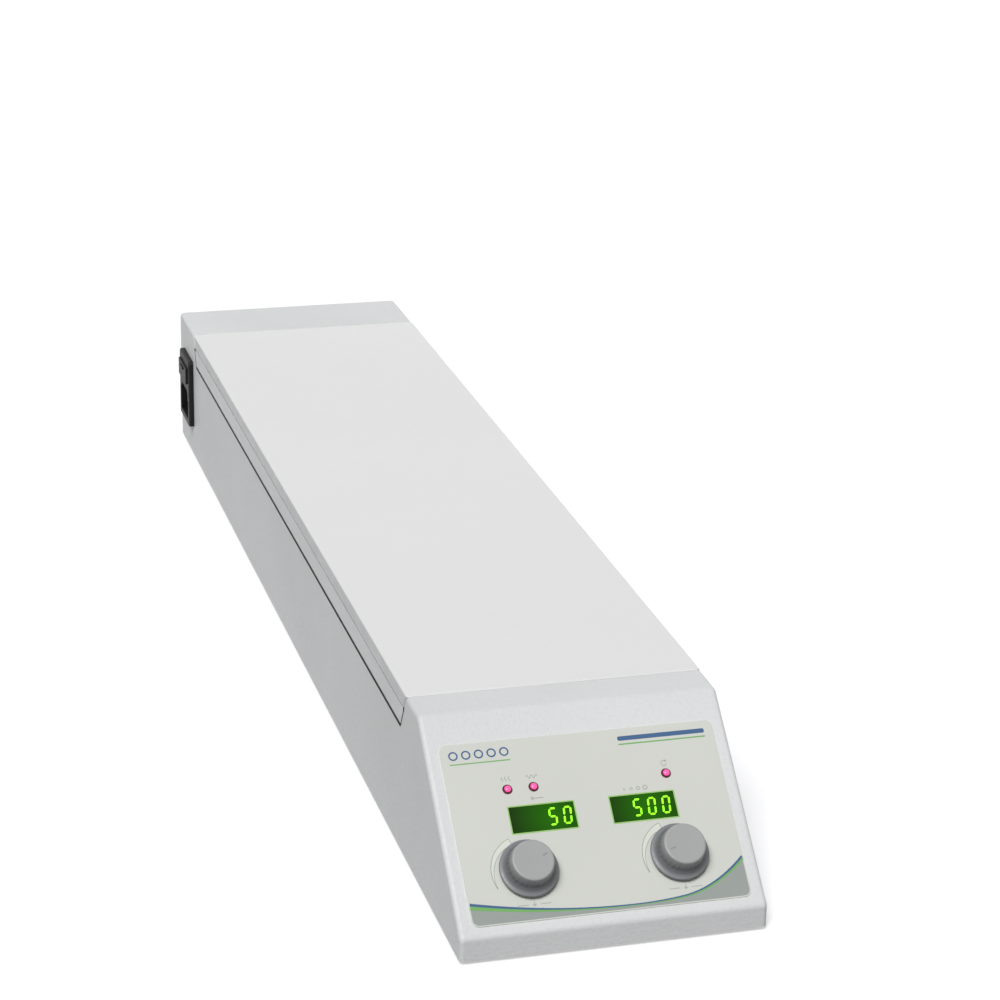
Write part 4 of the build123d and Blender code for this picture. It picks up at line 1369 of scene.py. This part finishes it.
    def marks(self) -> None:
        """Small grey pictures over the lamps and windows and under the knobs."""
        line, up = self.mark_line, self.lamp_s + self.mark_rise
        first, second, third = self.lamps_x
        shapes: list[list[list[Point]]] = []
        for shift in self.wave_shifts:
            wave = [(first + shift + self.wave_sway * math.sin(n * 0.9), up - 1.1 + n * 0.275)
                    for n in range(9)]
            shapes.append([stroke(wave, line)])
        coil = [(second - 2.4 + n * 0.3, up + self.coil_sway * math.sin(n * math.pi / 3.2))
                for n in range(17)]
        arrow = arc((third, up), self.arrow_radius, 60, 350, 20)
        shapes += [[stroke(coil, line)], [stroke(arrow, line)]]
        shapes.append([[(third + 0.2, up + 1.5), (third + 1.6, up + 1.2), (third + 0.5, up + 0.2)]])
        stem_x, stem_s = self.thermometer
        shapes.append([stroke([(stem_x - 2.2, stem_s), (stem_x + 1.8, stem_s)], 0.42)])
        shapes.append(ring((stem_x - 2.9, stem_s), 0.28, 0.75, 20))
        for n, size in enumerate(self.dot_sizes):
            spot = (self.dots[0] + n * self.dot_pitch, self.dots[1])
            shapes.append(ring(spot, size * self.dot_hole, size, 24))
        foot = self.start_s
        for x in (-self.console.knob_x, self.console.knob_x):
            for near, far in self.dashes:
                shapes.append([stroke([(x + near, foot), (x + far, foot)], line)])
            shapes.append([[(x - 1.0, foot + 0.2), (x, foot - 0.9), (x + 1.0, foot + 0.2)]])
            shapes.append([stroke([(x, foot + 0.2), (x, foot + 1.2)], 0.4)])
        self.printed("small_marks", shapes, PRINT_MARK)

    def headings(self) -> None:
        """Five rings for the five positions on the left, and a plain double rule on the right."""
        x, s = self.first_ring
        rings = [ring((x + self.ring_pitch * n, s), *self.ring_radii, self.round_steps)
                 for n in range(self.positions)]
        self.printed("position_rings", rings, PRINT_BLUE)
        rules = [[rounded(*rule)] for rule in self.green_rules]
        self.printed("heading_rules_green", rules, PRINT_GREEN)
        self.printed("heading_rule_blue", [[rounded(*self.blue_rule)]], PRINT_BLUE)

    def lamp_collars(self) -> None:
        """A thin dark collar round each lamp."""
        collars: list[bmesh.types.BMesh] = []
        for x in self.lamps_x:
            collar = lathe(self.collar, self.collar_steps)
            bmesh.ops.translate(collar, vec=(x, self.lamp_s, 0), verts=collar.verts)
            collars.append(collar)
        self.shop.piece("lamp_collars", gather(collars), LAMP_COLLAR, Body.INSTRUMENT,
                        self.console.place)

    def board_parts(self) -> None:
        """Chips and connectors on the control board."""
        parts = [block(size, (*spot, self.board_top + size[2] / 2), bevel)
                 for size, spot, bevel in self.chips]
        self.shop.piece("control_board_parts", gather(parts), CHIP, Body.INSTRUMENT, self.console.place)

    def build(self) -> None:
        """Builds and dresses the whole panel."""
        self.dress()
        self.band()
        self.crescents()
        self.marks()
        self.headings()
        self.lamp_collars()
        self.board_parts()
        Display(self.shop, self.console, "temperature", "50", -21.2).build()
        Display(self.shop, self.console, "speed", "500", 21.9, right_margin=2.7).build()


@dataclass
class Knob:
    """One push-and-turn knob: a skirt, a hollow sweep and a cap with faint grips at its foot."""

    shop: Workshop
    console: Console
    name: str
    x: float
    dial: Body
    mark_angle: float
    base: float = 2.0
    radius: float = 12.3
    skirt: float = 1.5
    neck: float = 9.7
    neck_height: float = 3.6
    top: float = 8.85
    height: float = 10.0
    edge: float = 0.9
    cavity: float = 8.0
    cavity_height: float = 4.1
    socket: float = 3.02
    socket_height: float = 8.62
    steps: int = 168
    grips: int = 28
    grip_depth: float = 0.34
    grip_foot: float = 0.6
    grip_head: float = 0.4
    grip_start: float = 0.12
    grip_power: float = 0.7
    foot_edge: float = 0.35
    skirt_edge: float = 0.45
    skirt_turn: float = 80.0
    skirt_steps: int = 5
    sweep_steps: int = 11
    sweep_dip: float = 0.42
    sweep_pull: float = 0.35
    wall_steps: int = 8
    cap_steps: int = 8
    wall_clear: float = 0.5
    mark: Point = (2.4, 0.5)
    mark_x: float = 5.6
    mark_radius: float = 0.22
    mark_layer: Point = (0.13, 0.01)
    dish: tuple[float, ...] = (0.02, 0.1, 0.12)
    land: float = 0.5
    sharp: float = 40.0

    def profile(self) -> list[Point]:
        """The knob's section, from the shaft's socket round to the middle of the top.

        Returns:
            Points of (radius, height).
        """
        points: list[Point] = [
            (0.0, self.socket_height),
            (self.socket, self.socket_height),
            (self.socket, self.cavity_height),
            (self.cavity, self.cavity_height),
            (self.cavity, 0.0),
            (self.radius - self.foot_edge, 0.0),
            (self.radius, self.foot_edge),
        ]
        edge = self.skirt_edge
        points += arc((self.radius - edge, self.skirt - edge), edge, 0, self.skirt_turn, self.skirt_steps)
        start, end = Vector(points[-1]), Vector((self.neck, self.neck_height))
        for n in range(1, self.sweep_steps):
            share = n / self.sweep_steps
            dip = math.sin(share * math.pi) * self.sweep_dip
            points.append(tuple(start.lerp(end, share) - Vector((dip * self.sweep_pull, dip))))
        wall = self.height - self.edge
        foot, head = end, Vector((self.top, wall))
        points += [tuple(foot.lerp(head, n / self.wall_steps)) for n in range(self.wall_steps + 1)]
        points += arc((self.top - self.edge, wall), self.edge, 0, 90, self.cap_steps)[1:]
        spots = (self.top - self.edge - self.land, self.top / 2, 0.0)
        points += [(radius, self.height - drop) for radius, drop in zip(spots, self.dish)]
        return points

    def shape(self) -> bmesh.types.BMesh:
        """The turned knob with its grips.

        Returns:
            The knob's mesh.
        """
        mesh = lathe(self.profile(), self.steps)
        low, high = self.neck_height - self.grip_foot, self.height - self.edge - self.grip_head
        for vert in mesh.verts:
            radius = math.hypot(vert.co.x, vert.co.y)
            if radius > self.cavity + self.wall_clear and low < vert.co.z < high:
                share = (vert.co.z - low) / (high - low)
                rise = math.sin(math.pi * (self.grip_start + (1 - self.grip_start) * share))
                fade = rise ** self.grip_power * (1 - share)
                angle = math.atan2(vert.co.y, vert.co.x)
                pull = 1 - self.grip_depth * fade * (0.5 - 0.5 * math.cos(angle * self.grips)) / radius
                vert.co.x *= pull
                vert.co.y *= pull
        return mesh

    def build(self) -> None:
        """Builds the knob and its mark, and dresses its shaft and plunger."""
        stand = Vector((self.x, self.console.knob_s, self.base)) * MM
        place = self.console.place @ Matrix.Translation(stand)
        spot = place.translation
        level = -math.sin(self.console.lean) * spot.y + math.cos(self.console.lean) * spot.z
        plastic = KnobPlastic("knob_grey", "knob_grey", self.console.lean, level)
        knob = self.shop.piece(f"{self.name}_knob_shape", self.shape(), plastic, self.dial, place,
                               self.sharp)
        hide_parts(f"{self.name}_knob")
        turn = place @ Matrix.Rotation(math.radians(self.mark_angle), 4, "Z")
        low, high = (self.height - drop for drop in self.mark_layer)
        mark = sheet([rounded((self.mark_x, 0.0), self.mark, self.mark_radius)], low, high)
        self.shop.piece(f"{self.name}_knob_mark", mark, KNOB_MARK, self.dial, turn)
        self.shop.dress(STEEL, f"{self.name}_shaft")
        self.shop.dress(NYLON, f"{self.name}_plunger")


@dataclass
class MainsSide:
    """The inlet with its fuse, the switch, the supply board and the loom."""

    shop: Workshop
    grip: Point3 = (1.0, 9.0, 1.6)
    grip_out: float = 0.35
    grip_up: float = 2.6
    grip_bevel: float = 0.35
    pivot_y: float = 331.5
    pivot_z: float = 46.5
    tilt: float = 8.0
    rocker_face: float = 1.9
    rocker_rise: float = 1.3
    rocker_half: float = 7.6
    mark_share: float = 0.52
    bar: Point = (0.7, 4.0)
    bar_radius: float = 0.2
    ring_radii: Point = (1.25, 1.85)
    ring_steps: int = 32
    paint_layer: Point = (-0.02, 0.05)

    def dress(self) -> None:
        """Finishes the mains parts."""
        self.shop.dress(BLACK_MOULDING, "power_inlet", "fuse_drawer", "switch_frame", "switch_rocker")
        self.shop.dress(BRASS, "inlet_contacts")
        self.shop.dress(FUSE_GLASS, "fuse_cartridge")
        self.shop.dress(BOARD, "power_board")
        self.shop.dress(LOOM, "wiring_loom")

    def drawer_grip(self) -> None:
        """A small ridge to pull the fuse drawer by."""
        low, high = (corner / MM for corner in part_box("fuse_drawer"))
        centre = (low.x - self.grip_out, (low.y + high.y) / 2, (low.z + high.z) / 2 + self.grip_up)
        ridge = block(self.grip, centre, self.grip_bevel)
        self.shop.piece("fuse_drawer_grip", ridge, BLACK_MOULDING, Body.FUSE_CARRIER)

    def rocker_marks(self) -> None:
        """The bar and the ring on the switch."""
        low, high = (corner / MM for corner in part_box("switch_rocker"))
        pivot = Matrix.Translation(((low.x + high.x) / 2, self.pivot_y, self.pivot_z))
        tilt = Matrix.Rotation(math.radians(self.tilt), 4, "X")
        face = Matrix.Rotation(math.radians(-90), 4, "X")
        slope = math.atan2(self.rocker_rise, self.rocker_half)
        lift = self.rocker_face + self.rocker_rise * self.mark_share
        for name, sign in (("rocker_bar", 1), ("rocker_ring", -1)):
            spot = Matrix.Translation((0, lift, sign * self.rocker_half * self.mark_share))
            lean = Matrix.Rotation(-sign * slope, 4, "X")
            bar = [rounded((0, 0), self.bar, self.bar_radius)]
            mesh = sheet(bar if sign > 0 else ring((0, 0), *self.ring_radii, self.ring_steps),
                         *self.paint_layer)
            mesh.transform(pivot @ tilt @ spot @ lean @ face)
            self.shop.piece(name, mesh, WHITE_MARK, Body.POWER_ROCKER)

    def build(self) -> None:
        """Builds and dresses the mains side."""
        self.dress()
        self.drawer_grip()
        self.rocker_marks()


@dataclass
class Drive:
    """The deck, the motor, the belts and the five rotors."""

    shop: Workshop
    positions: int = 5

    def build(self) -> None:
        """Dresses the drive's parts."""
        self.shop.dress(ZINC, "motor_deck", "deck_posts", "deck_screws")
        self.shop.dress(ALUMINIUM, "bearing_housings", "motor_pulley")
        self.shop.dress(STEEL, "spindle_bearings", "drive_motor", "motor_shaft")
        self.shop.dress(BELT_RUBBER, "drive_belts")
        for n in range(1, self.positions + 1):
            self.shop.dress(STEEL, f"stir_spindle_{n}")
            self.shop.dress(CARRIER, f"magnet_carrier_{n}")
            self.shop.dress(MAGNET, f"stir_magnets_{n}")


@dataclass
class Studio:
    """The floor, the light and the camera."""

    eye: Point3 = (-0.3324, -1.3279, 0.5801)
    right: Point3 = (0.9643, -0.2639, 0.0192)
    down: Point3 = (-0.0743, -0.3398, -0.9376)
    lens: float = 105.66
    sensor: float = 36.0
    sight: float = 50.0
    key_from: Point3 = (-0.35, -0.51, 0.785)
    key_strength: float = 2.5
    key_spread: float = 24.0
    back_from: Point3 = (0.68, 0.72, 0.08)
    back_strength: float = 1.0
    back_spread: float = 70.0
    fill: float = 0.14
    floor_reach: float = 6.0
    floor_drop: float = 0.1
    floor_plain: Colour = (0.30, 0.30, 0.295)
    floor_seen: Colour = (0.72, 0.73, 0.76)
    floor_glow: Colour = (1.0, 0.99, 0.97)
    floor_light: float = 0.46

    def camera(self) -> None:
        """Sets the camera at the photograph's angle."""
        right = Vector(self.right).normalized()
        up = -Vector(self.down)
        up = (up - right * up.dot(right)).normalized()
        back = right.cross(up)
        data = bpy.data.cameras.new("camera")
        data.lens, data.sensor_width, data.clip_end = self.lens, self.sensor, self.sight
        camera = bpy.data.objects.new("camera", data)
        bpy.context.scene.collection.objects.link(camera)
        turn = Matrix((right, up, back)).transposed().to_4x4()
        camera.matrix_world = Matrix.Translation(self.eye) @ turn
        bpy.context.scene.camera = camera

    def lamp(self, name: str, toward: Point3, strength: float, spread: float, glossy: bool) -> None:
        """Sets one broad soft lamp.

        Args:
            name: The lamp's name.
            toward: The direction from the object to the lamp.
            strength: Its strength.
            spread: How wide it looks from the object, in degrees.
            glossy: Whether it shows in gloss.
        """
        data = bpy.data.lights.new(name, "SUN")
        data.energy, data.angle = strength, math.radians(spread)
        lamp = bpy.data.objects.new(name, data)
        lamp.matrix_world = Vector(toward).to_track_quat("Z", "Y").to_matrix().to_4x4()
        lamp.visible_glossy = glossy
        bpy.context.scene.collection.objects.link(lamp)

    def world(self) -> None:
        """Sets a white surround with a weak even light."""
        world = bpy.data.worlds.new("surround")
        bpy.context.scene.world = world
        graph = Graph(world)
        graph.tree.nodes.clear()
        dim, white = (graph.join("ShaderNodeBackground", {"Color": WHITE, "Strength": strength})
                      for strength in (self.fill, 1.0))
        graph.show("ShaderNodeOutputWorld", dim, white)

    def floor(self) -> None:
        """Lays a pale floor that shows white and keeps the soft shadow."""
        mesh = bmesh.new()
        bmesh.ops.create_grid(mesh, x_segments=1, y_segments=1, size=self.floor_reach)
        bmesh.ops.translate(mesh, vec=(0, 0, -self.floor_drop * MM), verts=mesh.verts)
        data = bpy.data.meshes.new("floor")
        mesh.to_mesh(data)
        mesh.free()
        floor = bpy.data.objects.new("floor", data)
        bpy.context.scene.collection.objects.link(floor)
        material = bpy.data.materials.new("floor_pale")
        graph = Graph(material)
        graph.tree.nodes.clear()
        plain, seen = (graph.join("ShaderNodeBsdfDiffuse", {"Color": colour})
                       for colour in (self.floor_plain, self.floor_seen))
        glow = graph.join("ShaderNodeEmission", {"Color": self.floor_glow, "Strength": self.floor_light})
        both = graph.join("ShaderNodeAddShader", {0: seen.outputs[0], 1: glow.outputs[0]})
        graph.show("ShaderNodeOutputMaterial", plain, both)
        data.materials.append(material)
        floor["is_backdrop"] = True

    def build(self) -> None:
        """Builds the studio."""
        bpy.context.scene.view_settings.view_transform = "Standard"
        self.camera()
        self.lamp("key", self.key_from, self.key_strength, self.key_spread, True)
        self.lamp("back_fill", self.back_from, self.back_strength, self.back_spread, False)
        self.world()
        self.floor()


def corners(box: Sequence[Iterable[float]]) -> list[list[float]]:
    """A box as plain lists of numbers."""
    return [[float(value) for value in corner] for corner in box]


def main() -> None:
    """Builds the instrument's looks round its frame."""
    logging.basicConfig(level=logging.INFO, format="%(name)s: %(message)s")
    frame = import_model()
    cad_box = corners(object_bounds())
    console = Console()
    shop = Workshop(frame["nodes"])
    Studio().build()
    Case(shop).build()
    HotTop(shop).build()
    Panel(shop, console).build()
    left, right = -console.knob_x, console.knob_x
    Knob(shop, console, "temperature", left, Body.TEMPERATURE_DIAL, 20.0).build()
    Knob(shop, console, "speed", right, Body.SPEED_DIAL, 195.0).build()
    MainsSide(shop).build()
    Drive(shop).build()
    {"cad": cad_box, "visual": corners(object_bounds())}


if __name__ == "__main__":
    main()
